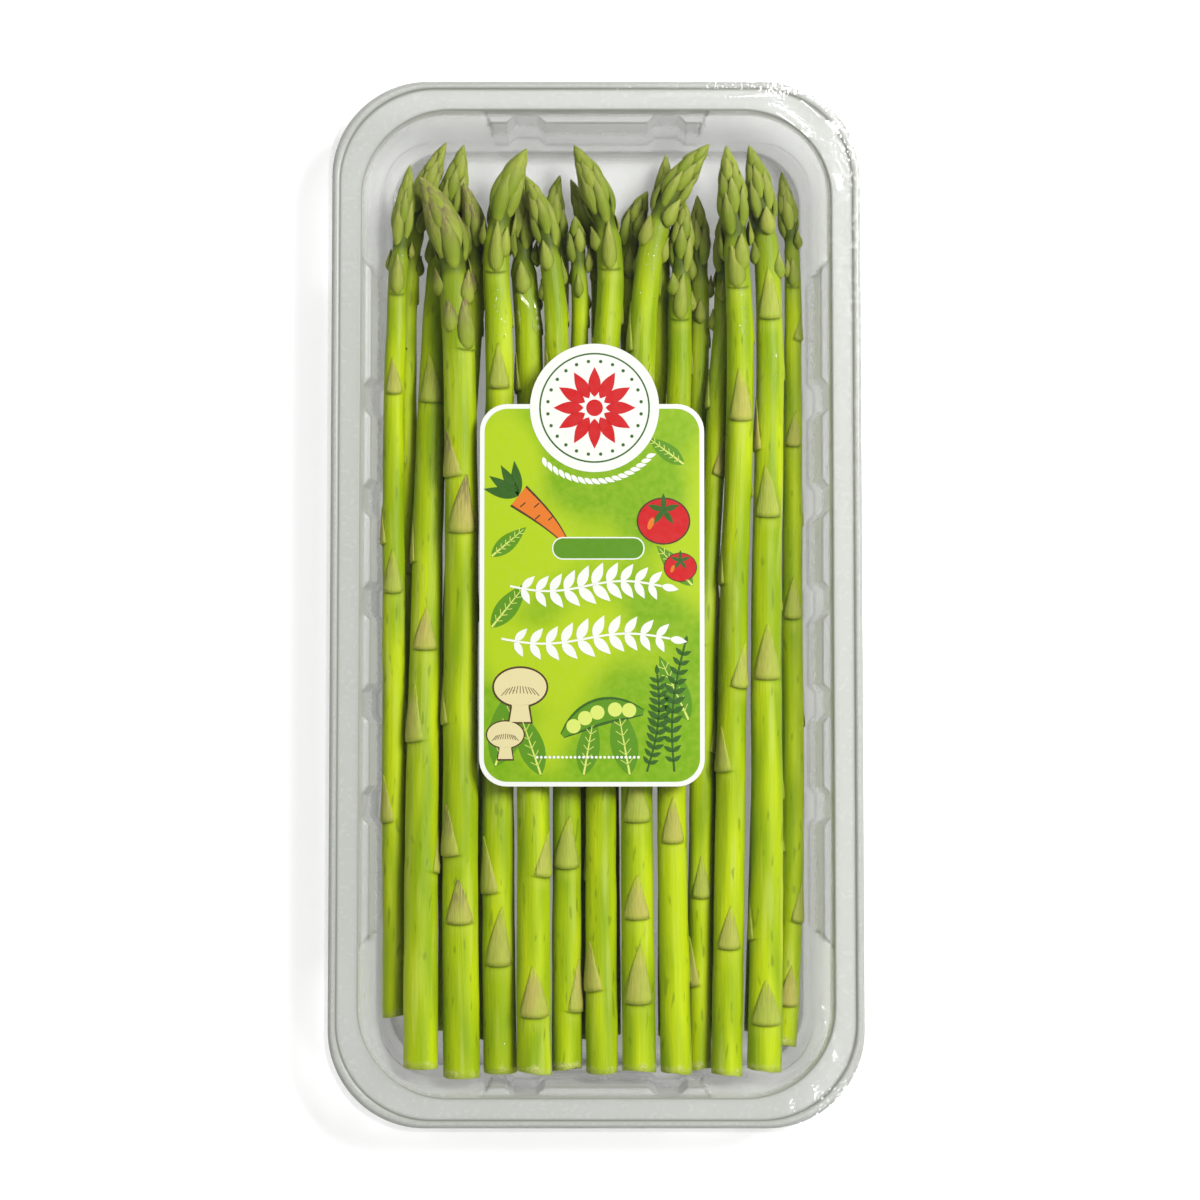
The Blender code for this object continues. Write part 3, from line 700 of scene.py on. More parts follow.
@dataclass(frozen=True)
class Axis:
    """The line through a spear's middle, from its tip to its cut end."""

    line: np.ndarray
    along: np.ndarray

    @classmethod
    def of_node(cls, node: bpy.types.Object) -> Axis:
        """Reads the axis of a spear from the sections of its solid.

        Args:
            node: The spear's CAD node.

        Returns:
            The axis.
        """
        mesh = node.data
        mesh.calc_loop_triangles()
        points = np.empty(len(mesh.vertices) * 3)
        mesh.vertices.foreach_get("co", points)
        points = points.reshape(-1, 3)
        corners = np.empty(len(mesh.loop_triangles) * 3, np.int64)
        mesh.loop_triangles.foreach_get("vertices", corners)
        triangles = points[corners.reshape(-1, 3)]
        tip, low = points[points[:, 1].argmax()], points[:, 1].min()
        margin, step = 2.0 * MM, 2.0 * MM
        places = np.arange(tip[1] - margin, low + margin, -step)
        middle = np.array([cls._section(triangles, y) for y in places])
        last = middle[-1] + (middle[-1] - middle[-4]) * (places[-1] - low) / (places[-4] - places[-1])
        line = np.vstack([tip, middle, [last[0], low, last[2]]])
        ys = np.linspace(tip[1], low, 140)
        line = np.column_stack([np.interp(-ys, -line[:, 1], line[:, k]) for k in range(3)])
        for _ in range(5):
            line[1:-1] = (line[:-2] + 2 * line[1:-1] + line[2:]) / 4
        along = np.concatenate([[0], np.cumsum(np.linalg.norm(np.diff(line, axis=0), axis=1))])
        return cls(line, along)

    @staticmethod
    def _section(triangles: np.ndarray, y: float) -> np.ndarray:
        """The middle of the section that a plane across Y makes.

        Args:
            triangles: The solid's triangles, as corners.
            y: The plane's place.

        Returns:
            The centre of the section's area.
        """
        off = triangles[:, :, 1] - y
        met = (off.min(axis=1) < 0) & (off.max(axis=1) >= 0)
        corners, off = triangles[met], off[met]
        crossed = (off < 0) != (np.roll(off, -1, axis=1) < 0)
        rise = off - np.roll(off, -1, axis=1)
        share = off / np.where(crossed, rise, 1.0)
        ends = corners + share[:, :, None] * (np.roll(corners, -1, axis=1) - corners)
        first_two = np.argsort(~crossed, axis=1, kind="stable")[:, :2]
        rows = np.arange(len(corners))
        start, end = ends[rows, first_two[:, 0]], ends[rows, first_two[:, 1]]
        normals = np.cross(corners[:, 1] - corners[:, 0], corners[:, 2] - corners[:, 0])
        heading = np.cross(normals, (0.0, 1.0, 0.0))
        back = ((end - start) * heading).sum(axis=1) < 0
        start[back], end[back] = end[back], start[back].copy()
        swept = start[:, 0] * end[:, 2] - start[:, 2] * end[:, 0]
        x, z = (((start + end)[:, k] * swept).sum() / (3 * swept.sum()) for k in (0, 2))
        return np.array([x, y, z])

    @property
    def length(self) -> float:
        """The spear's length along its axis."""
        return float(self.along[-1])

    def centre(self, from_tip: np.ndarray) -> np.ndarray:
        """Points on the axis at distances from the tip."""
        return np.stack([np.interp(from_tip, self.along, self.line[:, k]) for k in range(3)], axis=-1)

    def sides(self, from_tip: np.ndarray) -> tuple[np.ndarray, np.ndarray]:
        """The directions to the right and up, square to the axis.

        Args:
            from_tip: Distances from the tip.

        Returns:
            The two unit vectors at each distance.
        """
        step = 2.0 * MM
        ahead = self.centre(np.maximum(from_tip - step, 0)) - self.centre(np.minimum(from_tip + step, self.length))
        ahead /= np.linalg.norm(ahead, axis=-1, keepdims=True)
        right = np.cross(ahead, (0.0, 0.0, 1.0))
        right /= np.linalg.norm(right, axis=-1, keepdims=True)
        return right, np.cross(right, ahead)

    def place_of(self, y: float) -> float:
        """How far from the tip the axis passes a place along Y."""
        return float(np.interp(-y, -self.line[:, 1], self.along))


@dataclass
class Spear:
    """One spear: stem, lancet scales of the head, side buds, papery bracts and the cut end, in one mesh."""

    name: str
    layer: Layer
    cut: float
    neck: float
    head: float
    head_length: float
    seen: tuple[tuple[float, int], ...] = ()
    flush: float = 0.12
    scale_reach: float = 0.32
    scale_width: float = 2.0
    axis: Axis | None = None
    nodes: list[tuple[float, float]] = field(default_factory=list)

    # The bracts climb in columns, a few columns on each time, and stand further apart lower down
    BRACT_LENGTH, BRACT_PITCH, PITCH_GROWTH = 10.0 * MM, 12 * MM, 0.16
    BRACT_COLUMNS, BRACT_TURN = 8, 3
    # How far the head's length is covered by closed scales, and where its neck ends
    CLOSED_SHARE, NECK_SHARE = 0.80, 1.15
    # A node's own spread round the stem, as an angle, and the colour pattern's shift from spear to spear
    NODE_SPREAD = 0.87
    PATTERN_SHIFT = (31.0, -17.0)
    # The cut end's rings: share of the radius, how far they are sunk in millimetres, and how dry they look
    END_RINGS = ((1.0, 0.0, 0.35), (0.95, -0.1, 0.9), (0.78, 0.1, 1.0), (0.5, 0.16, 1.0), (0.22, 0.1, 1.0))

    @property
    def seed(self) -> int:
        """The spear's own number, for what varies from one to the next."""
        return int(self.name[-2:])

    def radius(self, from_tip: np.ndarray) -> np.ndarray:
        """The spear's plain radius, as in the CAD source.

        Args:
            from_tip: Distances from the tip.

        Returns:
            The radius at each.
        """
        cut, neck, head = (d * MM / 2 for d in (self.cut, self.neck, self.head))
        head_length = self.head_length * MM
        u = np.clip(from_tip / head_length, 0, 1)
        widest = 0.62
        pointed = head * np.sin(np.pi / 2 * np.minimum(u / widest, 1)) ** 0.8
        narrows = neck + (head - neck) * (1 - np.clip((u - widest) / (1 - widest), 0, 1) ** 1.5)
        v = np.clip((from_tip - head_length) / (self.axis.length - head_length), 0, 1)
        stem = neck + (cut - neck) * v**0.7
        return np.where(u < widest, pointed, np.where(u < 1, narrows, stem))

    def find_nodes(self) -> None:
        """Finds where the bracts grow: those seen from above and, round the stem, the rest, as on the solids."""
        spacing, head_length = (1.0 if self.layer is Layer.UPPER else 2.0), self.head_length * MM
        columns = self.BRACT_COLUMNS
        fixed = [(self.axis.place_of(y * MM), side % columns) for y, side in sorted(self.seen, reverse=True)]
        fixed.append((self.axis.length, None))
        at, column = head_length * self.NECK_SHARE + self.BRACT_LENGTH, self.BRACT_TURN
        for place, own in fixed:
            while place - at > self.BRACT_LENGTH * 1.1:
                self.nodes.append((at, column * 2 * math.pi / columns))
                column = (column + self.BRACT_TURN) % columns
                at += spacing * (self.BRACT_PITCH + self.PITCH_GROWTH * (at - head_length))
            if own is not None:
                self.nodes.append((place, own * 2 * math.pi / columns))
                column = (own + self.BRACT_TURN) % columns
                at = place + spacing * (self.BRACT_PITCH + self.PITCH_GROWTH * (place - head_length))

    def skin(self, from_tip: np.ndarray, angle: np.ndarray, reach: np.ndarray) -> np.ndarray:
        """Points round the axis.

        Args:
            from_tip: Distances from the tip.
            angle: Angles from straight up, towards +X.
            reach: Distances from the axis.

        Returns:
            The points.
        """
        right, up = self.axis.sides(from_tip)
        out = np.cos(angle)[..., None] * up + np.sin(angle)[..., None] * right
        return self.axis.centre(from_tip) + out * reach[..., None]

    def shading(self, from_tip: np.ndarray, angle: np.ndarray) -> dict[str, np.ndarray]:
        """The values that the skin's material reads, in millimetres where they are places.

        Args:
            from_tip: Distances from the tip.
            angle: Angles round the axis.

        Returns:
            The values at each point, by name.
        """
        girth = self.radius(from_tip) / MM
        _, crease, pale = self.node_steps(from_tip, angle)
        closed = self.CLOSED_SHARE * self.head_length * MM
        # Painted shade on the stem under the head's closed scales, so that it shows dark between them
        head_core_shade = 0.8 * (1 - smooth_step(from_tip, closed - 1 * MM, closed + 2 * MM))
        return {
            "skin_x": girth * np.cos(angle) + self.PATTERN_SHIFT[0] * self.seed,
            "skin_y": girth * np.sin(angle) + self.PATTERN_SHIFT[1] * self.seed,
            "from_tip": from_tip / MM,
            "headness": 1 - smooth_step(from_tip / MM, 0.75 * self.head_length, 1.7 * self.head_length),
            "under_bract": pale,
            "shade": np.maximum(0.62 * crease, head_core_shade),
            "cut": self.dried_end(from_tip, angle),
            "flush": np.full(np.shape(from_tip), self.flush),
        }

    def slant(self, angle: np.ndarray) -> np.ndarray:
        """How much shorter the slanting cut leaves the spear.

        Args:
            angle: Angles round the axis.

        Returns:
            What is missing at each.
        """
        chance = np.random.default_rng(self.seed + 50)
        depth, turn = chance.uniform(0.3, 1.3) * MM, chance.uniform(-2.4, 2.4)
        return depth * (0.5 - 0.5 * np.cos(angle - turn))

    def dried_end(self, from_tip: np.ndarray, angle: np.ndarray) -> np.ndarray:
        """How pale and dry the skin is towards the cut, with a ragged edge.

        Args:
            from_tip: Distances from the tip.
            angle: Angles round the axis.

        Returns:
            The dryness at each point.
        """
        ragged = 0.55 * MM * ripple(self.seed + 0.2, 7 * np.cos(angle), 7 * np.sin(angle))
        edge = self.axis.length - self.slant(angle) - 1.3 * MM + ragged
        return 0.8 * smooth_step(from_tip - edge, -0.6 * MM, 0.6 * MM)

    def node_steps(self, from_tip: np.ndarray, angle: np.ndarray) -> tuple[np.ndarray, np.ndarray, np.ndarray]:
        """How the stem changes at the root of each bract.

        Args:
            from_tip: Distances from the tip.
            angle: Angles round the axis.

        Returns:
            How far the stem stands out above the node, how much painted shade falls in the crease under it, and how
            pale the skin below it is.
        """
        shape = np.broadcast(from_tip, angle).shape
        swell, crease, pale = np.zeros(shape), np.zeros(shape), np.zeros(shape)
        for place, turn in self.nodes:
            across = np.abs(np.angle(np.exp(1j * (angle - turn)))) / self.NODE_SPREAD
            off = from_tip - place + 0.5 * MM * np.minimum(across**2, 1)
            facing = 1 - smooth_step(across, 0.6, 1.6)
            above = np.exp(np.minimum(off, 0) / (2.6 * MM)) * (1 - smooth_step(off, -0.05 * MM, 0.3 * MM))
            swell += 0.08 * np.minimum(self.radius(from_tip), 3.2 * MM) * above * (0.1 + 0.9 * facing)
            under = 1 - smooth_step(across, 0.75, 1.15)
            # The crease's painted shade: a thin dark line just below the bract's root
            crease = np.maximum(crease, np.exp(-(((off - 0.20 * MM) / (0.26 * MM)) ** 2)) * under)
            pale = np.maximum(pale, np.exp(-(((off - 1.8 * MM) / (1.1 * MM)) ** 2)) * facing)
        return swell, crease, pale

    def core_radius(self, from_tip: np.ndarray, angle: np.ndarray) -> np.ndarray:
        """The stem's own radius: thin under the head's scales, swollen at each node, and a little uneven.

        Args:
            from_tip: Distances from the tip.
            angle: Angles round the axis.

        Returns:
            The radius at each point.
        """
        plain = self.radius(from_tip)
        closed = self.CLOSED_SHARE * self.head_length * MM
        covered = 1 - smooth_step(from_tip, closed, closed + 4 * MM)
        uneven = 0.05 * MM * ripple(self.seed, from_tip / (3 * MM)) + 0.03 * MM * ripple(
            self.seed + 0.5, 3 * np.cos(angle), 3 * np.sin(angle), from_tip / (20 * MM)
        )
        return plain * (1 - 0.26 * covered) + (uneven + self.node_steps(from_tip, angle)[0]) * (1 - covered)

    def core_rows(self) -> np.ndarray:
        """How far from the tip each ring of the stem is, closer together at the steps under the bracts.

        Returns:
            The distances, rising.
        """
        last = self.axis.length - 1.7 * MM
        rows = np.linspace(1 * MM, last, int(self.axis.length / self.layer.value[1]))
        for place, _ in self.nodes:
            near = place + np.array(STEP_ROWS) * MM
            rows = rows[(rows < near[0] - 0.4 * MM) | (rows > near[-1] + 0.4 * MM)]
            rows = np.concatenate([rows, near[near < last - 0.5 * MM]])
        end = last + np.array(END_ROWS) * MM
        rows = rows[(rows < end[0] - 0.3 * MM) | (rows == last)]
        return np.concatenate([[0.3 * MM], np.sort(np.concatenate([rows, end]))])

    def add_core(self, surface: Surface) -> None:
        """Adds the stem, from the tip to the rough cut end.

        Args:
            surface: The spear's surface.
        """
        sides = self.layer.value[0]
        angle = np.linspace(0, 2 * math.pi, sides, endpoint=False)[None]
        from_tip = self.core_rows()[:, None]
        from_tip = np.broadcast_to(from_tip, (len(from_tip), sides))
        around = np.broadcast_to(angle, from_tip.shape)
        body = self.skin(from_tip, around, self.core_radius(from_tip, around))
        index = surface.add_points(body, **self.shading(from_tip, around))
        surface.stitch(index, wrap=True)
        tip = surface.add_points(self.axis.centre(np.array([0.05 * MM])), headness=1.0)
        surface.fan(index[0], int(tip[0]))

        ragged = 0.16 * MM * ripple(self.seed, 3 * np.cos(angle), 3 * np.sin(angle))
        last = index[-1]
        for share, sunk, mask in self.END_RINGS:
            place = np.full((1, sides), self.axis.length - sunk * MM) + ragged * share - self.slant(angle)
            reach = self.core_radius(np.full((1, sides), self.axis.length), angle) * share
            rough = 0.07 * MM * ripple(self.seed + share, 5 * np.cos(angle), 5 * np.sin(angle))
            place = np.minimum(place + rough, self.axis.length)
            points = self.end_points(place, angle, reach)
            values = self.shading(place, angle)
            values["skin_x"] = reach / MM * np.cos(angle) + self.PATTERN_SHIFT[0] * self.seed
            values["skin_y"] = reach / MM * np.sin(angle) + self.PATTERN_SHIFT[1] * self.seed
            ring = surface.add_points(points, **(values | {"cut": mask}))
            surface.stitch(np.vstack([last, ring[0]]), wrap=True)
            last = ring[0]
        middle = surface.add_points(self.axis.centre(np.array([self.axis.length - 0.1 * MM])), cut=1.0)
        surface.fan(last, int(middle[0]))

    def end_points(self, from_tip: np.ndarray, angle: np.ndarray, reach: np.ndarray) -> np.ndarray:
        """Points of the cut end, square to the axis there."""
        return self.skin(from_tip, np.broadcast_to(angle, from_tip.shape), np.broadcast_to(reach, from_tip.shape))

    def add_leaf(
        self, surface: Surface, kind: Leaf, root: float, turn: float, long: float, half_width: float, tint: float,
        sweep: float = 0.0,
    ) -> None:
        """Adds one scale, bud or bract that hugs the spear.

        Args:
            surface: The spear's surface.
            kind: The kind of scale.
            root: How far its root is from the tip.
            turn: Its angle round the axis.
            long: Its length.
            half_width: Half its width, round the spear.
            tint: Its own shade, 0 to 1.
            sweep: How far its point leans to one side, as an angle.
        """
        shape = kind.value
        v = np.linspace(0, 1, LEAF_ROWS)[:, None]
        u = np.linspace(-1, 1, LEAF_COLUMNS)[None]
        widths, lifts, drops = (smooth_through(LEAF_STATIONS, s, v) for s in (shape.widths, shape.lifts, shape.drops))
        from_tip = np.maximum(root - long * v - shape.arc * (1 - v) ** 2 * u**2, 0.12 * MM)
        plain = self.radius(from_tip)
        room = np.minimum(plain / (2.2 * MM), 1.0)
        keel = shape.keel * np.exp(-((u / 0.16) ** 2)) * np.sin(math.pi * np.clip(v, 0, 1))
        reach = plain + (lifts - drops * np.abs(u) ** 2.3 + keel) * room
        reach = np.maximum(reach, 0.12 * MM)
        girth = np.maximum(self.radius(np.maximum(root - long * v, 0.12 * MM)), 0.35 * MM)
        angle = turn + sweep * v**2 + np.minimum(half_width * np.maximum(widths, 0.03) / girth, 1.45) * u
        from_tip, angle = np.broadcast_arrays(from_tip, angle)
        values = self.shading(from_tip, angle)
        values |= {"under_bract": 0.0, "shade": 0.0, "leaf": 1.0, "papery": shape.papery, "tint": tint}
        values |= {"along": np.broadcast_to(v, angle.shape), "across": np.broadcast_to(u, angle.shape)}
        outer = surface.add_points(self.skin(from_tip, angle, reach), **values)
        within = np.maximum(reach - shape.thickness, 0.04 * MM)
        inner = surface.add_points(self.skin(from_tip, angle, within), **values)
        surface.stitch(outer)
        surface.stitch(inner[:, ::-1])
        rim = [np.concatenate([g[0, :-1], g[:-1, -1], g[-1, :0:-1], g[:0:-1, 0]]) for g in (outer, inner)]
        surface.stitch(np.vstack(rim[::-1]), wrap=True)

    def add_leaves(self, surface: Surface) -> int:
        """Adds the head's scales, the side buds below them and the bracts.

        Args:
            surface: The spear's surface.

        Returns:
            How many were added.
        """
        chance = np.random.default_rng(self.seed)
        head_length = self.head_length * MM
        closed = self.CLOSED_SHARE * head_length
        count = int(round(closed / ((0.92 if self.layer is Layer.UPPER else 1.15) * MM)))
        turn = chance.uniform(0, 2 * math.pi)
        added = 0
        for k in range(count):
            root = closed * ((k + 1.6) / (count + 0.6)) ** 1.12
            long = min(self.scale_reach * root + 4.0 * MM, root + 0.1 * MM)
            plain = float(self.radius(max(root - 0.4 * long, 0.5 * MM)))
            wide = min(self.scale_width * MM, 0.80 * plain + 0.25 * MM) * chance.uniform(0.88, 1.12)
            long *= chance.uniform(0.9, 1.06)
            self.add_leaf(surface, Leaf.SCALE, root, turn, long, wide, chance.uniform())
            turn += GOLDEN_ANGLE
            added += 1
        root = closed + 2.2 * MM
        first_bract = self.nodes[0][0] if self.nodes else self.axis.length
        while root < min(head_length * self.NECK_SHARE + 7 * MM, first_bract - 2 * MM):
            long = chance.uniform(5.5, 8.0) * MM * min(1.15, self.head / 6.5)
            wide = float(self.radius(root)) * chance.uniform(0.55, 0.72)
            self.add_leaf(surface, Leaf.BUD, root, turn, long, wide, chance.uniform())
            turn += GOLDEN_ANGLE
            root += chance.uniform(2.6, 4.2) * MM
            added += 1
        for place, side in self.nodes:
            plain = float(self.radius(place))
            long = min(12.5 * MM, 3.3 * plain + 1.2 * MM) * chance.uniform(0.8, 1.15)
            wide = plain * chance.uniform(0.74, 1.0)
            kind = Leaf.BUD if place < head_length * self.NECK_SHARE + 9 * MM else Leaf.BRACT
            lean, sweep = chance.uniform(-0.12, 0.12), chance.uniform(-0.35, 0.35)
            wide *= 0.8 if kind is Leaf.BUD else 1
            self.add_leaf(surface, kind, place, side + lean, long, wide, chance.uniform(), sweep)
            added += 1
        return added

    def build(self, node: bpy.types.Object, skin: bpy.types.Material) -> bpy.types.Object:
        """Makes the spear round its solid's axis.

        Args:
            node: The spear's CAD node.
            skin: The skin's material.

        Returns:
            The piece.
        """
        self.axis = Axis.of_node(node)
        self.find_nodes()
        surface = Surface(*SKIN_VALUES)
        self.add_core(surface)
        leaves = self.add_leaves(surface)
        piece = surface.build(f"{self.name}_grown", skin)
        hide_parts(self.name)
        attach(piece, BODY)
        log.info("%s: %.0f mm long, %d scales, buds and bracts", self.name, self.axis.length / MM, leaves)
        return piece


# Each spear in millimetres: thickness at the cut, at the neck and of the head, the head's length, the bracts seen
# from above as places along Y and columns, the head's flush, and the reach and the width of its scales
GROWN = {
    Layer.UPPER: (
        (6.0, 4.6, 5.0, 26, ((74, 0), (50, 0), (2, 0), (-53, -1)), 0.25),
        (8.3, 6.4, 7.0, 27, ((48, 0), (-12, 0), (-34, -1)), 0.15),
        (8.8, 7.4, 8.8, 31, ((60, 1), (16, 0), (-61, -1), (-77, 0)), 0.85, 0.52, 2.4),
        (8.0, 6.2, 7.2, 25, ((79, 0), (51, 0), (-87, 0)), 0.10, 0.5, 2.8),
        (8.3, 6.2, 6.6, 25, ((-66, 1), (-99, 0)), 0.15),
        (7.2, 5.2, 6.0, 24, ((-64, 0), (-98, 1)), 0.2),
        (7.6, 6.2, 7.2, 27, ((80, 0), (-93, -1)), 0.22, 0.36, 2.1),
        (8.0, 6.2, 7.2, 27, ((-53, 0), (-76, 0), (-96, 0)), 0.10),
        (7.4, 5.4, 5.8, 23, ((68, 0), (-58, 0)), 0.15),
        (6.0, 4.8, 5.2, 23, ((-71, 0), (-92, -1)), 0.15),
        (7.4, 6.1, 7.2, 28, ((75, 0), (43, 0), (-41, -1), (-83, 0)), 0.15),
        (8.2, 6.0, 6.8, 26, ((68, 0), (20, 0), (-19, 0), (-101, 0)), 0.2),
        (6.0, 3.8, 4.6, 22, ((77, 0), (64, 1), (38, 0), (-4, 0), (-77, 1), (-97, 0)), 0.15),
    ),
    Layer.LOWER: (
        (6.2, 4.4, 6.0, 27, (), 0.25),
        (6.4, 4.8, 5.6, 24, (), 1.0, 0.55, 2.2),
        (6.0, 4.4, 4.8, 22),
        (6.2, 4.4, 5.6, 24),
        (5.6, 4.0, 5.2, 15),
        (6.0, 4.4, 5.0, 22),
        (6.4, 4.8, 6.2, 19),
        (6.2, 4.6, 5.6, 24),
        (6.0, 4.6, 5.6, 24),
        (6.0, 4.0, 5.0, 24),
    ),
}


def bundle() -> list[Spear]:
    """The spears.

    Returns:
        The upper layer from left to right, and then the lower one.
    """
    rows = [(layer, sizes) for layer, spears in GROWN.items() for sizes in spears]
    return [Spear(f"spear_{number:02d}", layer, *sizes) for number, (layer, sizes) in enumerate(rows, 1)]


@dataclass(frozen=True)
class Beads:
    """Beads of moisture that cling to a spear where the wrap has sweated."""

    spear: str
    start: float
    end: float
    count: int
    spread: float = 0.5
    smallest: float = 0.18 * MM
    largest: float = 0.42 * MM
    dome: float = 0.7

    def add_to(self, surface: Surface, spear: Spear) -> None:
        """Adds the beads as flat domes on the spear.

        Args:
            surface: The surface of all the beads.
            spear: The spear, already built.
        """
        chance = np.random.default_rng(spear.seed + 100)
        first, last = (spear.axis.place_of(y * MM) for y in (self.start, self.end))
        turns = np.linspace(0, 2 * math.pi, 10, endpoint=False)
        for _ in range(self.count):
            place = np.array([chance.uniform(first, last)])
            angle = np.array([chance.uniform(-self.spread, self.spread) + 0.15])
            size = chance.uniform(self.smallest, self.largest)
            reach = spear.core_radius(place, angle)
            at = spear.skin(place, angle, reach)[0]
            out = spear.skin(place, angle, reach + MM)[0] - at
            out /= np.linalg.norm(out)
            along = np.cross(out, (1.0, 0.0, 0.0))
            along /= np.linalg.norm(along)
            side = np.cross(along, out)
            squash = chance.uniform(0.75, 1.0)
            rings = []
            for rise in (-0.25, 0.0, 0.35, 0.65, 0.88):
                width = size * math.sqrt(1 - rise**2)
                ring = at + out * size * self.dome * rise
                ring = ring + np.cos(turns)[:, None] * along * width + np.sin(turns)[:, None] * side * width * squash
                rings.append(ring)
            index = surface.add_points(np.array(rings))
            surface.stitch(index, wrap=True)
            surface.fan(index[-1], int(surface.add_points((at + out * size * self.dome)[None])[0]))
            surface.fan(index[0], int(surface.add_points((at - out * size * 0.25)[None])[0]))


MOISTURE = (
    Beads("spear_04", 79.0, 62.0, 34, 0.45),
    Beads("spear_11", 78.0, 62.0, 34, 0.35),
    Beads("spear_08", 96.0, 72.0, 30, 0.8),
    Beads("spear_07", 84.0, 80.0, 5, 0.5, 0.3 * MM, 0.55 * MM),
    Beads("spear_11", 82.5, 80.5, 1, 0.1, 0.55 * MM, 0.6 * MM),
    Beads("spear_04", -104.0, -105.5, 1, 0.3, 0.5 * MM, 0.55 * MM),
    Beads("spear_12", 60.0, 54.0, 5, 0.4),
    Beads("spear_01", 84.0, 82.0, 2, 0.4, 0.3 * MM, 0.5 * MM),
)


def add_moisture(spears: dict[str, Spear], water: bpy.types.Material) -> bpy.types.Object:
    """Adds the beads of moisture under the wrap.

    Args:
        spears: The spears by name, already built.
        water: The beads' material.

    Returns:
        The piece.
    """
    surface = Surface()
    for beads in MOISTURE:
        beads.add_to(surface, spears[beads.spear])
    piece = surface.build("moisture_beads", water)
    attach(piece, BODY)
    # Clear water throws hardly any shadow
    piece.visible_shadow = False
    log.info("moisture: %d beads", sum(beads.count for beads in MOISTURE))
    return piece


# ---------------------------------------------------------------- tray and wrap


def even(steps: int) -> tuple[float, ...]:
    """Places at even steps along a straight, from -1 to 1, without its ends."""
    return tuple(np.linspace(-1, 1, steps + 1)[1:-1])


@dataclass(frozen=True)
class RoundedLoop:
    """A round-cornered rectangle read at set places, so that loops of any size pair up point by point.

    The places along the sides and the ends are shares of each straight run, or of a fixed run where it is longer.
    """

    corner_steps: int
    side_places: tuple[float, ...]
    end_places: tuple[float, ...]
    side_run: float = math.inf
    end_run: float = math.inf

    def read(self, half_x: float, half_y: float, corner: float) -> np.ndarray:
        """The loop's points, anticlockwise from the lower right corner.

        Args:
            half_x: Half its width.
            half_y: Half its length.
            corner: Its corner radius.

        Returns:
            The points in X and Y.
        """
        side = np.array(self.side_places) * min(half_y - corner, self.side_run)
        end = np.array(self.end_places) * min(half_x - corner, self.end_run)
        turns = np.linspace(0, math.pi / 2, self.corner_steps + 1)
        rows = []
        for k, (sign_x, sign_y) in enumerate(((1, -1), (1, 1), (-1, 1), (-1, -1))):
            angle = turns + (k - 1) * math.pi / 2
            middle = np.array([sign_x * (half_x - corner), sign_y * (half_y - corner)])
            rows.append(middle + corner * np.column_stack([np.cos(angle), np.sin(angle)]))
            if k % 2 == 0:
                rows.append(np.column_stack([np.full(len(side), sign_x * half_x), sign_x * side]))
            else:
                rows.append(np.column_stack([-sign_y * end, np.full(len(end), sign_y * half_y)]))
        return np.vstack(rows)


def at_height(xy: np.ndarray, height: np.ndarray | float) -> np.ndarray:
    """Points in X and Y, lifted to a height, or each to its own."""
    return np.column_stack([xy, np.broadcast_to(height, len(xy))])


# The most of a straight run that a corner's rounding may take up
MOST_EASED = 0.45


def eased(knots: np.ndarray, reach: float, bend_steps: int, run_steps: int) -> np.ndarray:
    """A profile with each of its corners rounded.

    Args:
        knots: The profile's corners, one a row, with as many numbers as needed. The first two are the place.
        reach: How far from a corner its rounding starts.
        bend_steps: Steps in each rounding.
        run_steps: Steps in each straight run.

    Returns:
        The rounded profile, with the same columns.
    """
    rows = [knots[:1]]
    for k in range(1, len(knots)):
        before, here = knots[k - 1], knots[k]
        span = np.linalg.norm((here - before)[:2])
        near = min(reach / span, MOST_EASED)
        start = rows[-1][-1]
        stop = here - (here - before) * (near if k < len(knots) - 1 else 0.0)
        rows.append(start + (stop - start) * np.linspace(0, 1, run_steps + 1)[1:, None])
        if k < len(knots) - 1:
            after = knots[k + 1]
            ahead = here + (after - here) * min(reach / np.linalg.norm((after - here)[:2]), MOST_EASED)
            t = np.linspace(0, 1, bend_steps + 1)[1:, None]
            rows.append((1 - t) ** 2 * stop + 2 * t * (1 - t) * here + t**2 * ahead)
    return np.vstack(rows)


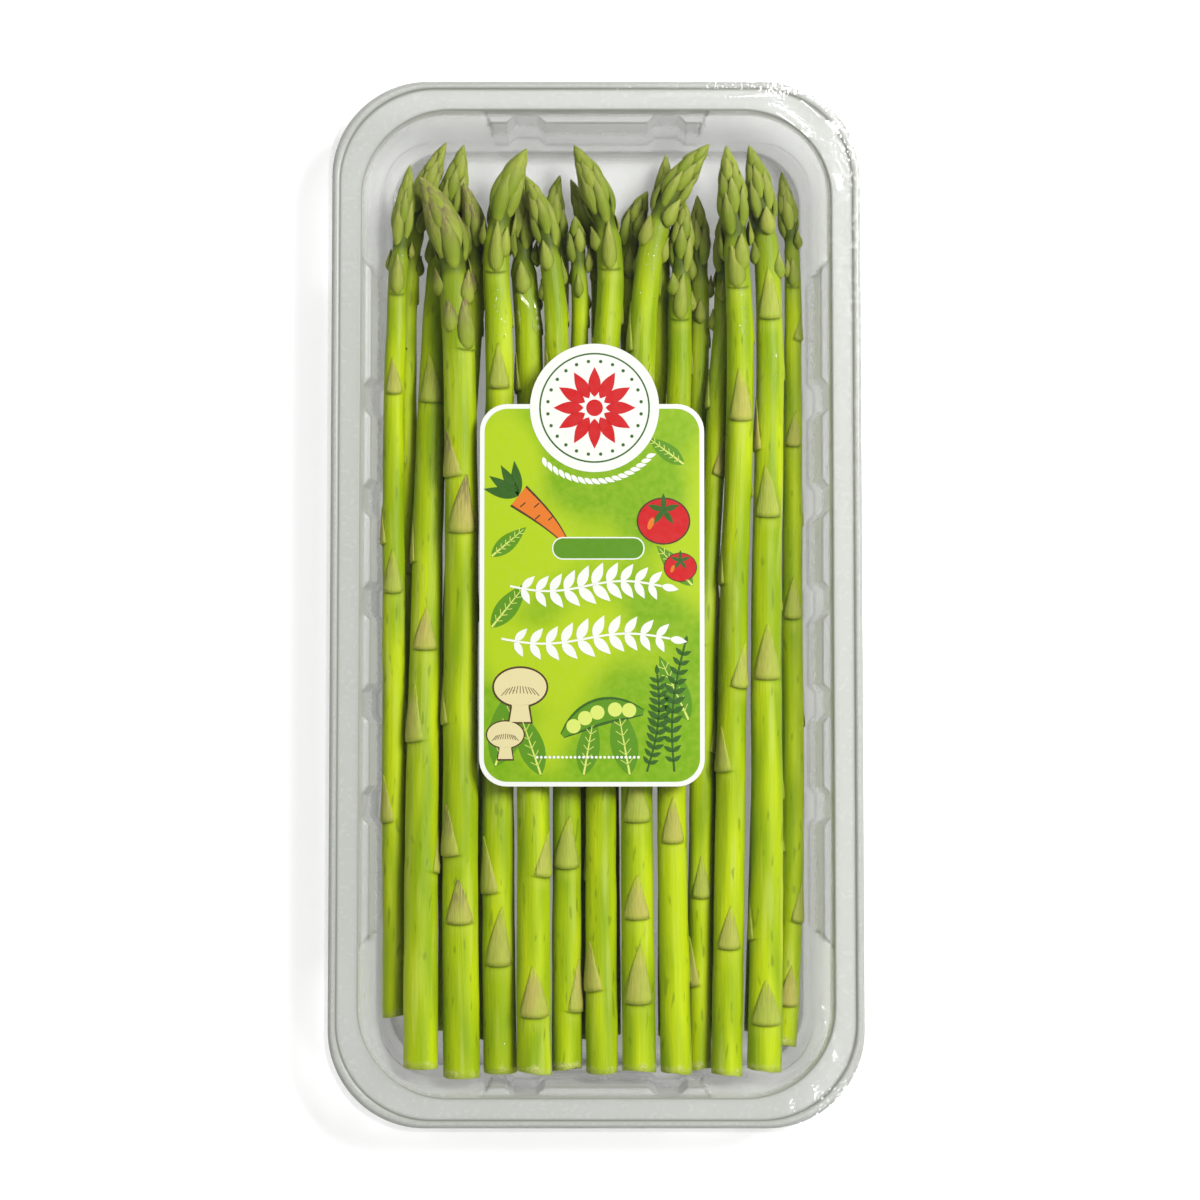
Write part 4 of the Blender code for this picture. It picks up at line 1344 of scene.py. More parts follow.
@dataclass
class Tray:
    """The thermoformed tray: rolled rim, flat flange, ledge, fluted walls and a grooved floor, in one sheet."""

    half_width: float = 63.5 * MM
    half_length: float = 125.0 * MM
    corner: float = 23.0 * MM
    thickness: float = 0.42 * MM
    rib_half: float = 2.6 * MM
    rib_chamfer: float = 2.1 * MM
    rib_depth: float = 1.9 * MM
    side_ribs: tuple[float, ...] = (-49.0 * MM, -24.5 * MM, 0.0, 24.5 * MM, 49.0 * MM)
    end_ribs: tuple[float, ...] = (-17.0 * MM, 17.0 * MM)
    ledge_ends: tuple[float, float] = (26.5 * MM, 82.0 * MM)
    straight_runs: tuple[float, float] = (36.1 * MM, 97.6 * MM)
    floor_half: float = 49.7 * MM
    floor_corner: float = 13.4 * MM
    floor_height: float = 1.8 * MM
    groove_pitch: float = 14.0 * MM
    groove_depth: float = 0.35 * MM

    # Inset from the rim, height, corner radius, share of the rib's depth, and how dark the painted shade along the
    # bend is; in millimetres
    RIM_AND_FLANGE = (
        (0.0, 17.4, 23.0, 0, 0.5), (0.1, 19.3, 23.0, 0, 0.8), (0.7, 20.0, 23.0, 0, 0.3), (1.5, 20.0, 22.8, 0, 0.2),
        (2.0, 19.65, 22.6, 0, 0.9), (7.2, 19.65, 21.5, 0, 1),
    )
    STRAIGHT = RIM_AND_FLANGE + (
        (7.8, 16.2, 19.5, 0, 0.4), (9.6, 15.8, 16.0, 1, 1), (12.2, 3.4, 14.96, 1, 0.2), (13.8, 1.8, 13.4, 0, 0.45),
    )
    CORNERED = RIM_AND_FLANGE + (
        (8.0, 17.4, 19.5, 0, 0), (9.7, 11.8, 16.4, 0, 0), (12.2, 3.4, 14.96, 0, 0), (13.8, 1.8, 13.4, 0, 0.3),
    )

    def loop(self) -> RoundedLoop:
        """How the sheet's loops are read, with more places where the ribs and the ledges end.

        Returns:
            The loop.
        """
        runs = []
        inner, outer, close = self.rib_half, self.rib_half + self.rib_chamfer, 0.3 * MM
        near = np.array([0, 0.5 * inner, inner - close, inner, inner + close, (inner + outer) / 2])
        near = np.concatenate([near, [outer - close, outer, outer + close]])
        for ribs, ledge_end, run in zip((self.end_ribs, self.side_ribs), self.ledge_ends, self.straight_runs):
            places = [rib + sign * near for rib in ribs for sign in (-1, 1)]
            places += [sign * (ledge_end + np.linspace(-5.2, 2.4, 17) * MM) for sign in (-1, 1)]
            places = np.unique(np.round(np.concatenate(places), 6))
            filling = np.arange(-run, run, 1.9 * MM) + 0.4 * MM
            lonely = np.abs(filling[:, None] - places).min(axis=1) > 1.0 * MM
            filling = filling[lonely & (np.abs(filling) < run)]
            runs.append((tuple(np.sort(np.concatenate([places, filling])) / run), run))
        (end_places, end_run), (side_places, side_run) = runs
        return RoundedLoop(24, side_places, end_places, side_run, end_run)

    def wall_rows(self, loop: RoundedLoop) -> tuple[np.ndarray, np.ndarray]:
        """The sheet's upper face from the rim to the floor's edge.

        Args:
            loop: How the rows are read.

        Returns:
            The points, one row a height, and how much painted shade darkens the sheet at its bends.
        """
        made, bends = [], []
        for knots in (np.array(self.STRAIGHT, float), np.array(self.CORNERED, float)):
            profile = eased(knots, 0.6, 4, 3)
            rows, bent = [], []
            for inset, height, corner, ribbed, _ in profile:
                xy = loop.read(self.half_width - inset * MM, self.half_length - inset * MM, corner * MM)
                xy = xy + self.rib_push(xy, inset * MM) * ribbed
                rows.append(at_height(xy, height * MM))
                # Each row's painted shade, from the bends that it lies near
                away = np.linalg.norm(knots[:, :2] - (inset, height), axis=1)
                bent.append(np.full(len(xy), (np.exp(-((away / 0.32) ** 2)) * knots[:, 4]).max()))
            made.append(np.array(rows))
            bends.append(np.array(bent))
        share = self.off_the_ledge(made[0])
        points = made[0] * (1 - share[..., None]) + made[1] * share[..., None]
        on_wall = (points[..., 2] < 19.2 * MM) & (points[..., 2] > 9 * MM)
        # A dark line of painted shade across the wall where the ledge ends
        across = 0.55 * np.exp(-(((share - 0.2) / 0.2) ** 2)) * on_wall
        return points, np.maximum(bends[0] * (1 - share) + bends[1] * share, across)

    def off_the_ledge(self, rows: np.ndarray) -> np.ndarray:
        """How far each point is past the ledge's ends, which slant towards the floor.

        Args:
            rows: The sheet's points.

        Returns:
            The share of each, 0 on the ledge and 1 round the corners.
        """
        x, y = np.abs(rows[..., 0]), np.abs(rows[..., 1])
        on_end = (self.half_length - y) < (self.half_width - x)
        inner_edge = 7.2 * MM
        at_end = np.clip((x - self.ledge_ends[0] + 0.5 * (self.half_length - y - inner_edge)) / (1.6 * MM), 0, 1)
        at_side = np.clip((y - self.ledge_ends[1] + 1.0 * (self.half_width - x - inner_edge)) / (1.8 * MM), 0, 1)
        return np.where(on_end, at_end, at_side)

    def rib_push(self, xy: np.ndarray, inset: float) -> np.ndarray:
        """How far the ribs push a loop's points outwards.

        Args:
            xy: The loop's points.
            inset: The loop's inset from the rim.

        Returns:
            The push in X and Y at each point.
        """
        push = np.zeros_like(xy)
        for axis, half, ribs in ((0, self.half_width, self.side_ribs), (1, self.half_length, self.end_ribs)):
            on_wall = np.abs(np.abs(xy[:, axis]) - (half - inset)) < 0.05 * MM
            for centre in ribs:
                away = np.abs(xy[:, 1 - axis] - centre)
                full = 1 - np.clip((away - self.rib_half) / self.rib_chamfer, 0, 1)
                push[:, axis] += np.where(on_wall, full, 0) * np.sign(xy[:, axis]) * self.rib_depth
        return push

    def floor_rows(self, loop: RoundedLoop) -> np.ndarray:
        """The floor inwards from the wall's foot, with shallow grooves across it.

        Args:
            loop: How the rows are read.

        Returns:
            The points, in rows.
        """
        rows = []
        for share in np.linspace(0, 1, 17)[1:]:
            half_x = self.floor_half * (1 - share) + 1.2 * MM * share
            half_y = self.half_length - self.half_width + half_x
            xy = loop.read(half_x, half_y, half_x * self.floor_corner / self.floor_half)
            groove = smooth_step(np.cos(2 * math.pi * xy[:, 1] / self.groove_pitch), 0.5, 0.9)
            inside = smooth_step(self.half_length - 15 * MM - np.abs(xy[:, 1]), 0, 5 * MM)
            inside = inside * smooth_step(49 * MM - np.abs(xy[:, 0]), 0, 5 * MM)
            rows.append(at_height(xy, self.floor_height - self.groove_depth * groove * inside))
        return np.array(rows)

    def build(self, plastic: bpy.types.Material) -> bpy.types.Object:
        """Makes the tray.

        Args:
            plastic: Its material.

        Returns:
            The piece.
        """
        loop = self.loop()
        surface = Surface("gauge", "bent")
        walls, bent = self.wall_rows(loop)
        points = np.concatenate([walls, self.floor_rows(loop)])
        bent = np.concatenate([bent, np.zeros((len(points) - len(walls), points.shape[1]))])
        # The sheet carries its painted shade along the bends as a point value
        index = surface.add_points(points, gauge=smooth_step(points[..., 2], 16.5 * MM, 18.0 * MM), bent=bent)
        surface.stitch(index, wrap=True)
        surface.polygon(index[-1])
        piece = surface.build("tray_formed", plastic)
        thicken(piece, self.thickness)
        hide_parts("tray")
        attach(piece, BODY)
        log.info("tray: %d faces", len(piece.data.polygons))
        return piece


@dataclass(frozen=True)
class Crease:
    """A low ridge in the film, from one place to another, in millimetres."""

    start: tuple[float, float]
    end: tuple[float, float]
    width: float
    height: float


@dataclass
class Wrap:
    """The clear film: taut over the spears, turned over the rim, drawn down to the base and folded under it."""

    thickness: float = 0.07 * MM
    rim: tuple[float, float] = (64.3 * MM, 125.8 * MM)
    corner: float = 23.0 * MM
    base: tuple[float, float] = (52.4 * MM, 113.9 * MM)
    opening: tuple[float, float] = (18.0 * MM, 80.0 * MM)
    flat: tuple[float, float] = (0.236, 0.359)
    crown: float = 21.18 * MM
    rim_height: float = 20.36 * MM
    foot: float = 0.5 * MM
    lip_foot: float = 17.1 * MM

    # In millimetres: the film's heights on the lip, and the insets and heights of its turn over the rim
    LIP_HEIGHTS = (17.4, 18.4, 19.4, 19.9)
    TURN_OVER = ((0.12, 20.12), (0.35, 20.28), (0.8, 20.36))

    creases: tuple[Crease, ...] = tuple(Crease(*row) for row in (
        ((-20.8, 73.5), (-17.4, 62.0), 0.62, 0.31),
        ((-19.2, 74.5), (-15.4, 60.5), 0.50, 0.25),
        ((-17.6, 72.5), (-14.2, 59.5), 0.66, 0.32),
        ((-16.2, 73.0), (-13.4, 62.0), 0.50, 0.22),
        ((-20.6, 71.5), (-14.6, 69.5), 0.55, 0.14),
        ((8, 119.4), (42, 121.4), 1.2, 0.44),
        ((40.0, 118.0), (51.5, 111.0), 1.1, 0.42),
        ((46.5, 121.0), (57.5, 113.0), 1.3, 0.46),
        ((56.2, 102.0), (58.0, 98.0), 0.8, 0.30),
        ((-57.8, -112.8), (-56.0, -107.8), 1.0, 0.44),
        ((-55.4, -115.4), (-53.5, -110.2), 1.0, 0.45),
        ((-54.0, -120.2), (-51.9, -112.6), 1.1, 0.49),
        ((-58.0, -118.6), (-57.0, -115.2), 0.8, 0.36),
        ((-50.6, -121.4), (-49.8, -116.2), 0.9, 0.41),
        ((-47.6, -121.2), (-46.9, -117.0), 0.9, 0.41),
        ((-61.4, -112.6), (-60.4, -107.0), 1.1, 0.44),
        ((51.0, -87.0), (52.3, -94.0), 0.8, 0.34),
        ((51.8, -95.4), (54.2, -100.2), 0.8, 0.34),
        ((54.9, -102.6), (56.4, -108.0), 0.8, 0.34),
        ((47.0, -109.0), (52.0, -117.0), 0.9, 0.26),
        ((43.0, -114.0), (46.0, -121.0), 0.8, 0.24),
        ((-58.0, 104.0), (-51.0, 112.0), 0.9, 0.14),
    ))

    def top_height(self, x: np.ndarray, y: np.ndarray) -> np.ndarray:
        """The height of the film over the tray.

        Args:
            x: Places along X.
            y: Places along Y.

        Returns:
            The film's height at each.
        """
        off = np.maximum(np.abs(np.stack([x, y])) - np.array(self.rim)[:, None] + self.corner, 0)
        inwards = self.corner - np.linalg.norm(off, axis=0)
        from_edges = np.minimum(self.rim[0] - np.abs(x), self.rim[1] - np.abs(y))
        inwards = np.where(inwards >= self.corner, from_edges, inwards)
        rise = 1 - (1 - np.clip((inwards - 0.8 * MM) / (11.0 * MM), 0, 1)) ** 1.4
        height = self.rim_height + (self.crown - self.rim_height) * rise
        held = smooth_step(inwards, 1.2 * MM, 2.6 * MM)
        for crease in self.creases:
            height = height + self.crease_height(crease, x, y) * held
        return height + 0.03 * MM * ripple(3.0, x / (4 * MM), y / (9 * MM)) * rise

    @staticmethod
    def crease_height(crease: Crease, x: np.ndarray, y: np.ndarray) -> np.ndarray:
        """How far one crease lifts the film.

        Args:
            crease: The crease.
            x: Places along X.
            y: Places along Y.

        Returns:
            The lift at each.
        """
        start, end = (np.array(p) * MM for p in (crease.start, crease.end))
        run = end - start
        long = np.linalg.norm(run)
        run = run / long
        along = (x - start[0]) * run[0] + (y - start[1]) * run[1]
        across = (x - start[0]) * run[1] - (y - start[1]) * run[0]
        across = across + 0.4 * MM * np.sin(along / long * 5.0)
        inside = smooth_step(along, -0.1 * long, 0.3 * long) * (1 - smooth_step(along, 0.7 * long, 1.1 * long))
        return crease.height * MM * inside * np.exp(-((across / (crease.width * MM)) ** 2))

    def pleats(self, xy: np.ndarray, share: float) -> np.ndarray:
        """The gathers at the corners, as a push along each point's own direction from the middle.

        Args:
            xy: A loop's points.
            share: How far down the side the loop is, 0 at the rim and 1 at the base.

        Returns:
            The push of each point.
        """
        inner = np.array([self.rim[0] - self.corner, self.rim[1] - self.corner])
        off = np.abs(xy) - inner
        turned = np.arctan2(off[:, 1], off[:, 0])
        at_corner = smooth_step(np.minimum(off[:, 0], off[:, 1]), -14 * MM, 2 * MM)
        waves = np.sin(turned * 22 + 3 * np.sign(xy[:, 0]) + np.sign(xy[:, 1])) + 0.5 * np.sin(turned * 37 + 1.0)
        return 0.34 * MM * waves * at_corner * math.sin(math.pi * min(share, 0.85))

    def crinkle(self, points: np.ndarray) -> np.ndarray:
        """How finely crinkled the film is: most where it is drawn over the corners and the ends.

        Args:
            points: The film's points.

        Returns:
            The strength of the crinkles at each.
        """
        x, y = np.abs(points[..., 0]), np.abs(points[..., 1])
        corner = smooth_step(x - 30 * MM, 0, 22 * MM) * smooth_step(y - 92 * MM, 0, 18 * MM)
        end = smooth_step(y, 116 * MM, 121 * MM)
        return 0.12 + 2.4 * np.maximum(corner, 0.9 * end)

    def rows(self, loop: RoundedLoop) -> np.ndarray:
        """The film from its edge under the base to the middle of the top.

        Args:
            loop: How the rows are read.

        Returns:
            The points, in rows.
        """
        rows = []
        for share in np.linspace(0, 1, 9):
            half = [opening + (base - opening) * share for opening, base in zip(self.opening, self.base)]
            xy = loop.read(*half, (6 + 6 * share) * MM)
            fold = 0.04 * MM * (1 + np.sin(xy[:, 0] / MM * 0.5 + xy[:, 1] / MM * 0.23)) * share * (1 - share) * 4
            rows.append(at_height(xy, 0.08 * MM + fold))
        for share in np.linspace(1, 0, 15)[:-1]:
            half = [rim + (base - rim) * share for base, rim in zip(self.base, self.rim)]
            xy = loop.read(*half, (12.5 + 10.5 * (1 - share)) * MM)
            push = self.pleats(xy, share)
            away = xy / np.linalg.norm(xy, axis=1, keepdims=True)
            xy = xy - away * np.abs(push)[:, None]
            slack = 0.5 * MM * math.sin(math.pi * share)
            height = self.foot + (self.lip_foot - self.foot) * (1 - share)
            xy = xy - away * slack
            rows.append(at_height(xy, height))
        for height in self.LIP_HEIGHTS:
            xy = loop.read(*self.rim, self.corner)
            rows.append(at_height(xy, height * MM))
        for inset, height in self.TURN_OVER:
            xy = loop.read(self.rim[0] - inset * MM, self.rim[1] - inset * MM, self.corner)
            rows.append(at_height(xy, height * MM))
        near, far = np.arange(1.2, 13.0, 0.55), np.arange(14.0, 43.0, 2.1)
        insets = np.concatenate([near, far, np.arange(43.6, 53.0, 0.5), np.arange(54.0, 63.6, 2.4)])
        for inset in insets:
            half_x, half_y = self.rim[0] - inset * MM, self.rim[1] - inset * MM
            xy = loop.read(half_x, half_y, min(self.corner, self.corner * half_x / (self.rim[0] * 0.8)))
            rows.append(at_height(xy, self.top_height(xy[:, 0], xy[:, 1])))
        return np.array(rows)

    def build(self, film: bpy.types.Material) -> bpy.types.Object:
        """Makes the film.

        Args:
            film: Its material.

        Returns:
            The piece.
        """
        surface = Surface("crinkle")
        points = self.rows(RoundedLoop(44, even(100), even(40)))
        index = surface.add_points(points, crinkle=self.crinkle(points))
        surface.stitch(index, wrap=True)
        surface.polygon(index[-1])
        piece = surface.build("film_wrap", film)
        thicken(piece, self.thickness)
        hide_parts("film")
        # Film this thin throws hardly any shadow
        piece.visible_shadow = False
        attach(piece, BODY)
        log.info("film: %d faces", len(piece.data.polygons))
        return piece


# ---------------------------------------------------------------- label


class Ink(Enum):
    """The label's inks, each with its finish."""

    WHITE = PrintedPaper("label white", pigment(218, 220, 213))
    PANEL = PrintedPaper("label lime", pigment(160, 186, 14), pigment(108, 154, 4))
    LEAF = PrintedPaper("label leaf green", pigment(82, 132, 14))
    DEEP = PrintedPaper("label deep green", pigment(46, 88, 20))
    PALE = PrintedPaper("label pale lime", pigment(196, 208, 100))
    RED = PrintedPaper("label red", pigment(186, 16, 20))
    CREAM = PrintedPaper("label cream", pigment(206, 196, 146))
    ORANGE = PrintedPaper("label orange", pigment(206, 110, 30))
    BROWN = PrintedPaper("label brown", pigment(70, 48, 28))


@dataclass(frozen=True)
class Motif:
    """A flat printed shape: its outline in millimetres from the label's middle, its ink and its level in the print."""

    outline: np.ndarray
    ink: Ink
    level: int = 1


def step_from(
    x: float, y: float, turn: float, ahead: np.ndarray | float, side: np.ndarray | float = 0.0
) -> np.ndarray:
    """Places so far ahead and to the left of x, y.

    Args:
        x: The start.
        y: The start.
        turn: The way ahead, as an angle from +X.
        ahead: How far ahead each is.
        side: How far to the left each is.

    Returns:
        The places in X and Y.
    """
    c, s = math.cos(turn), math.sin(turn)
    return np.stack([x + ahead * c - side * s, y + ahead * s + side * c], axis=-1)


def disc(x: float, y: float, radius: float, steps: int = 40, squash: float = 1.0, turn: float = 0.0) -> np.ndarray:
    """A round or oval outline.

    Args:
        x: Its middle.
        y: Its middle.
        radius: Its radius along its own length.
        steps: Points round it.
        squash: Its width as a share of its length.
        turn: How far it is turned.

    Returns:
        The outline.
    """
    angle = np.linspace(0, 2 * math.pi, steps, endpoint=False)
    return step_from(x, y, turn, radius * np.cos(angle), radius * squash * np.sin(angle))


def leaf_outline(x: float, y: float, long: float, wide: float, turn: float, steps: int = 12) -> np.ndarray:
    """A pointed leaf from its root at x, y.

    Args:
        x: The root's place.
        y: The root's place.
        long: The leaf's length.
        wide: Its width.
        turn: The way it points, as an angle from +X.
        steps: Points along each side.

    Returns:
        Its outline.
    """
    t = np.linspace(0, 1, steps)
    half = wide / 2 * np.sin(math.pi * t**0.8)
    return step_from(x, y, turn, np.concatenate([t, t[-2:0:-1]]) * long, np.concatenate([half, -half[-2:0:-1]]))


def band(path: np.ndarray, widths: np.ndarray | float) -> np.ndarray:
    """A stripe along a path.

    Args:
        path: The path's points.
        widths: Its width, all along or at each point.

    Returns:
        Its outline.
    """
    along = np.gradient(path, axis=0)
    along /= np.linalg.norm(along, axis=1, keepdims=True)
    side = np.column_stack([-along[:, 1], along[:, 0]]) * (np.broadcast_to(widths, len(path)) / 2)[:, None]
    return np.vstack([path + side, (path - side)[::-1]])


@dataclass
class Label:
    """The die-cut label: a white-bordered lime panel with a round badge, and plain printed vegetables and leaves."""

    centre: tuple[float, float] = (-1.0 * MM, 1.0 * MM)
    half: tuple[float, float] = (26.7, 45.5)
    corner: float = 6.5
    badge_radius: float = 15.4
    badge_at: tuple[float, float] = (0.6, 44.6)
    border: float = 1.1
    height: float = 21.28 * MM
    thickness: float = 0.10 * MM

    # How far each level of the print stands over the one below it
    PRINT_STEP = 0.012 * MM

    def outline(self, inset: float) -> np.ndarray:
        """The label's outline, or one that runs inside it.

        Args:
            inset: How far inside, in millimetres.

        Returns:
            The outline from the lower right corner, anticlockwise.
        """
        corner_steps, side_steps = 10, 40
        half_x, half_y = (half - inset for half in self.half)
        plate = RoundedLoop(corner_steps, even(side_steps), even(2)).read(half_x, half_y, self.corner - inset * 0.6)
        radius = self.badge_radius - inset
        x, y = self.badge_at
        meet = math.asin((half_y - y) / radius)
        angles = np.linspace(meet, math.pi - meet, 41)
        arc = np.column_stack([x + radius * np.cos(angles), y + radius * np.sin(angles)])
        top = 2 * (corner_steps + 1) + side_steps - 1
        return np.vstack([plate[:top], arc, plate[top + 1:-1]])

    def bend(self, xy: np.ndarray) -> np.ndarray:
        """The label's own height at its points: it lies over the spears in a very shallow arch."""
        x, y = xy[:, 0] / self.half[0], xy[:, 1] / self.half[1]
        return -0.10 * MM * x**2 - 0.05 * MM * y**2 + 0.015 * MM * ripple(5.0, xy[:, 0] / 5, xy[:, 1] / 9)

    def lay(self, xy: np.ndarray, lift: float) -> np.ndarray:
        """Puts flat outline points on the film."""
        height = self.height + lift + self.bend(xy)
        return np.column_stack([xy[:, 0] * MM + self.centre[0], xy[:, 1] * MM + self.centre[1], height])

    def add_plate(self, surface: Surface, outline: np.ndarray, low: float, high: float, ink: int) -> None:
        """Adds a broad closed plate that follows the bend.

        Args:
            surface: The label's surface.
            outline: The plate's outline.
            low: Its lower face.
            high: Its upper face.
            ink: Its material slot.
        """
        middle = outline.mean(axis=0)
        rings = []
        for lift in (low, high):
            shares = np.linspace(1, 0.06, 18)
            grid = np.array([self.lay(middle + (outline - middle) * s, lift) for s in shares])
            index = surface.add_points(grid)
            surface.stitch(index, wrap=True, ink=ink)
            centre = surface.add_points(self.lay(middle[None], lift))
            surface.fan(index[-1], int(centre[0]), ink)
            rings.append(index[0])
        surface.stitch(np.vstack(rings), wrap=True, ink=ink)

    def add_motif(self, surface: Surface, motif: Motif, ink: int) -> None:
        """Adds one printed shape as a very thin closed plate.

        Args:
            surface: The label's surface.
            motif: The shape.
            ink: Its material slot.
        """
        triangles = tessellate_polygon([[Vector((x, y, 0)) for x, y in motif.outline]])
        below = surface.add_points(self.lay(motif.outline, self.thickness - 0.02 * MM))
        above = surface.add_points(self.lay(motif.outline, self.thickness + self.PRINT_STEP * (1 + motif.level)))
        for side in (below, above):
            for corners in triangles:
                surface.polygon(side[list(corners)], ink)
        surface.stitch(np.vstack([below, above]), wrap=True, ink=ink)

    def sprig(self, path: np.ndarray, leaves: int, long: float, ink: Ink, level: int) -> list[Motif]:
        """A stalk with leaves in pairs.

        Args:
            path: The stalk's path.
            leaves: Pairs of leaves.
            long: Each leaf's length.
            ink: Their ink.
            level: Their level.

        Returns:
            The motifs.
        """
        made = [Motif(band(path, 0.5), ink, level)]
        shares = np.linspace(0, 1, len(path))
        for share in np.linspace(0.08, 0.92, leaves):
            here = np.array([np.interp(share, shares, path[:, k]) for k in (0, 1)])
            ahead = np.array([np.interp(min(share + 0.03, 1), shares, path[:, k]) for k in (0, 1)])
            turn = math.atan2(*(ahead - here)[::-1])
            size = long * (1 - 0.35 * abs(share - 0.5) * 2)
            for side in (-1, 1):
                made.append(Motif(leaf_outline(*here, size, size * 0.42, turn + side * 0.95), ink, level))
        turn = math.atan2(*(path[-1] - path[-2])[::-1])
        made.append(Motif(leaf_outline(*path[-1], long * 0.7, long * 0.3, turn), ink, level))
        return made

    def carrot(self, x: float, y: float, turn: float) -> list[Motif]:
        """A carrot with its leaves.

        Args:
            x: Its top's place.
            y: Its top's place.
            turn: The way that it points.

        Returns:
            The motifs.
        """
        t = np.linspace(0, 1, 16)
        path = step_from(x, y, turn, 17 * t, 1.4 * np.sin(2.2 * t))
        made = [Motif(band(path, 6.0 * (1 - t) ** 0.7 + 0.35), Ink.BROWN, 2)]
        made.append(Motif(band(path[:-1], 5.2 * (1 - t[:-1]) ** 0.7 + 0.05), Ink.ORANGE, 3))
        for place, side in ((2, -1.0), (4, 1.0), (6, -1.0), (8, 1.0)):
            mark = step_from(*path[place], turn, 0.0, side + np.array([-0.8, 0.8]))
            made.append(Motif(band(mark, 0.3), Ink.BROWN, 4))
        leaves = (leaf_outline(x, y, 8.5, 2.6, turn + math.pi + spread) for spread in (-0.6, -0.2, 0.25, 0.65))
        return made + [Motif(leaf, Ink.DEEP, 2) for leaf in leaves]

    def pod(self, x: float, y: float, turn: float) -> list[Motif]:
        """An open pea pod.

        Args:
            x: Its end's place.
            y: Its end's place.
            turn: The way that it points.

        Returns:
            The motifs.
        """
        t = np.linspace(0, 1, 20)
        path = step_from(x, y, turn, 20 * t, 3.0 * np.sin(math.pi * t))
        fat = np.sin(math.pi * np.clip(t, 0.02, 0.98)) ** 0.6
        made = [Motif(band(path, 6.2 * fat + 0.3), Ink.DEEP, 2), Motif(band(path, 5.2 * fat), Ink.LEAF, 3)]
        return made + [Motif(disc(*path[place], 1.7, 20), Ink.PALE, 4) for place in (3, 6, 9, 13, 16)]

    def tomato(self, x: float, y: float, size: float = 1.0) -> list[Motif]:
        """A tomato with its green star.

        Args:
            x: Its middle.
            y: Its middle.
            size: Its size.

        Returns:
            The motifs.
        """
        made = [
            Motif(disc(x, y, 6.4 * size, 48, 0.88), Ink.BROWN, 2),
            Motif(disc(x, y, 6.0 * size, 48, 0.88), Ink.RED, 3),
            Motif(disc(x - 3.0 * size, y - 0.6 * size, 1.5 * size, 20, 0.45, 1.2), Ink.ORANGE, 4),
        ]
        for k in range(5):
            turn = math.pi / 2 + k * 2 * math.pi / 5
            made.append(Motif(leaf_outline(x, y + 2.6 * size, 4.0 * size, 1.4 * size, turn), Ink.DEEP, 5))
        return made

    def mushroom(self, x: float, y: float, size: float = 1.0) -> list[Motif]:
        """A cut mushroom with its gills.

        Args:
            x: Its middle.
            y: Its middle.
            size: Its size.

        Returns:
            The motifs.
        """
        stalk = np.array([[0, -5.0], [0, -2.0], [0, 1.5]]) * size + (x, y)
        made = [
            Motif(disc(x, y + 2.2 * size, 5.8 * size, 40, 0.74), Ink.BROWN, 2),
            Motif(band(stalk - [[0, 0.4], [0, 0], [0, 0]], np.array([5.2, 4.2, 4.6]) * size), Ink.BROWN, 2),
            Motif(disc(x, y + 2.2 * size, 5.4 * size, 40, 0.72), Ink.CREAM, 3),
            Motif(band(stalk, np.array([4.4, 3.4, 3.8]) * size), Ink.CREAM, 3),
        ]
        for k in np.linspace(-1, 1, 11):
            sag = 0.5 * k**2
            gill = np.array([[3.9 * k, 0.9 - sag], [3.2 * k, 1.7 - sag], [2.6 * k, 2.4 - sag]]) * size
            made.append(Motif(band(gill + (x, y), 0.16), Ink.BROWN, 4))
        return made

    def badge(self) -> list[Motif]:
        """The round badge: a green ring round a plain red rosette.

        Returns:
            The motifs.
        """
        x, y = self.badge_at
        made = [Motif(disc(x, y, 13.2, 72), Ink.DEEP, 1), Motif(disc(x, y, 12.8, 72), Ink.WHITE, 2)]
        for k in range(12):
            turn = k * 2 * math.pi / 12
            made.append(Motif(leaf_outline(*step_from(x, y, turn, 2.6), 7.2, 3.0, turn), Ink.RED, 3))
        made.append(Motif(disc(x, y, 2.0, 32), Ink.RED, 3))
        for k in range(24):
            turn = (k + 0.5) * 2 * math.pi / 24
            made.append(Motif(disc(*step_from(x, y, turn, 11.2), 0.42, 12), Ink.DEEP, 3))
        return made

    def bunting(self) -> list[Motif]:
        """A row of small leaves that follows the badge's lower edge.

        Returns:
            The motifs.
        """
        x, y = self.badge_at
        made = []
        for turn in np.linspace(math.radians(224), math.radians(316), 18):
            root = step_from(x, y, turn, 17.0)
            made.append(Motif(leaf_outline(*root, 2.6, 1.1, turn + math.pi / 2 - 0.5), Ink.WHITE, 4))
        return made

    def foliage(self) -> list[Motif]:
        """Broad leaves and ferny sprigs along the panel's sides and foot.

        Returns:
            The motifs.
        """
        made: list[Motif] = []
        broad = (
            (-23, -41, 24, 1.25), (-12, -43, 17, 1.9), (-2, -43, 15, 1.4), (9, -43, 18, 1.75), (23, -30, 17, 2.0),
            (-24, -8, 14, 0.9), (24, 2, 13, 2.3), (-24, 9, 11, 0.7), (22, 31, 11, 2.5),
        )
        for x, y, long, turn in broad:
            made.append(Motif(leaf_outline(x, y, long, long * 0.36, turn), Ink.LEAF, 1))
            vein = step_from(x, y, turn, np.linspace(0.02, 0.92, 8) * long)
            made.append(Motif(band(vein, np.linspace(0.5, 0.15, 8)), Ink.PALE, 2))
            for place in vein[1:-1]:
                for side in (-1, 1):
                    tip = step_from(*place, turn + 0.8 * side, 0.11 * long)
                    made.append(Motif(band(np.array([place, (place + tip) / 2, tip]), 0.16), Ink.PALE, 2))
        for start, end, bow in (((19.5, -42), (22.0, -12), -1.6), ((13.0, -42), (15.5, -19), 1.4)):
            t = np.linspace(0, 1, 30)[:, None]
            path = np.array(start) + (np.array(end) - np.array(start)) * t + np.array([bow, 0]) * np.sin(math.pi * t)
            made += self.sprig(path, 12, 3.4, Ink.DEEP, 3)
        return made

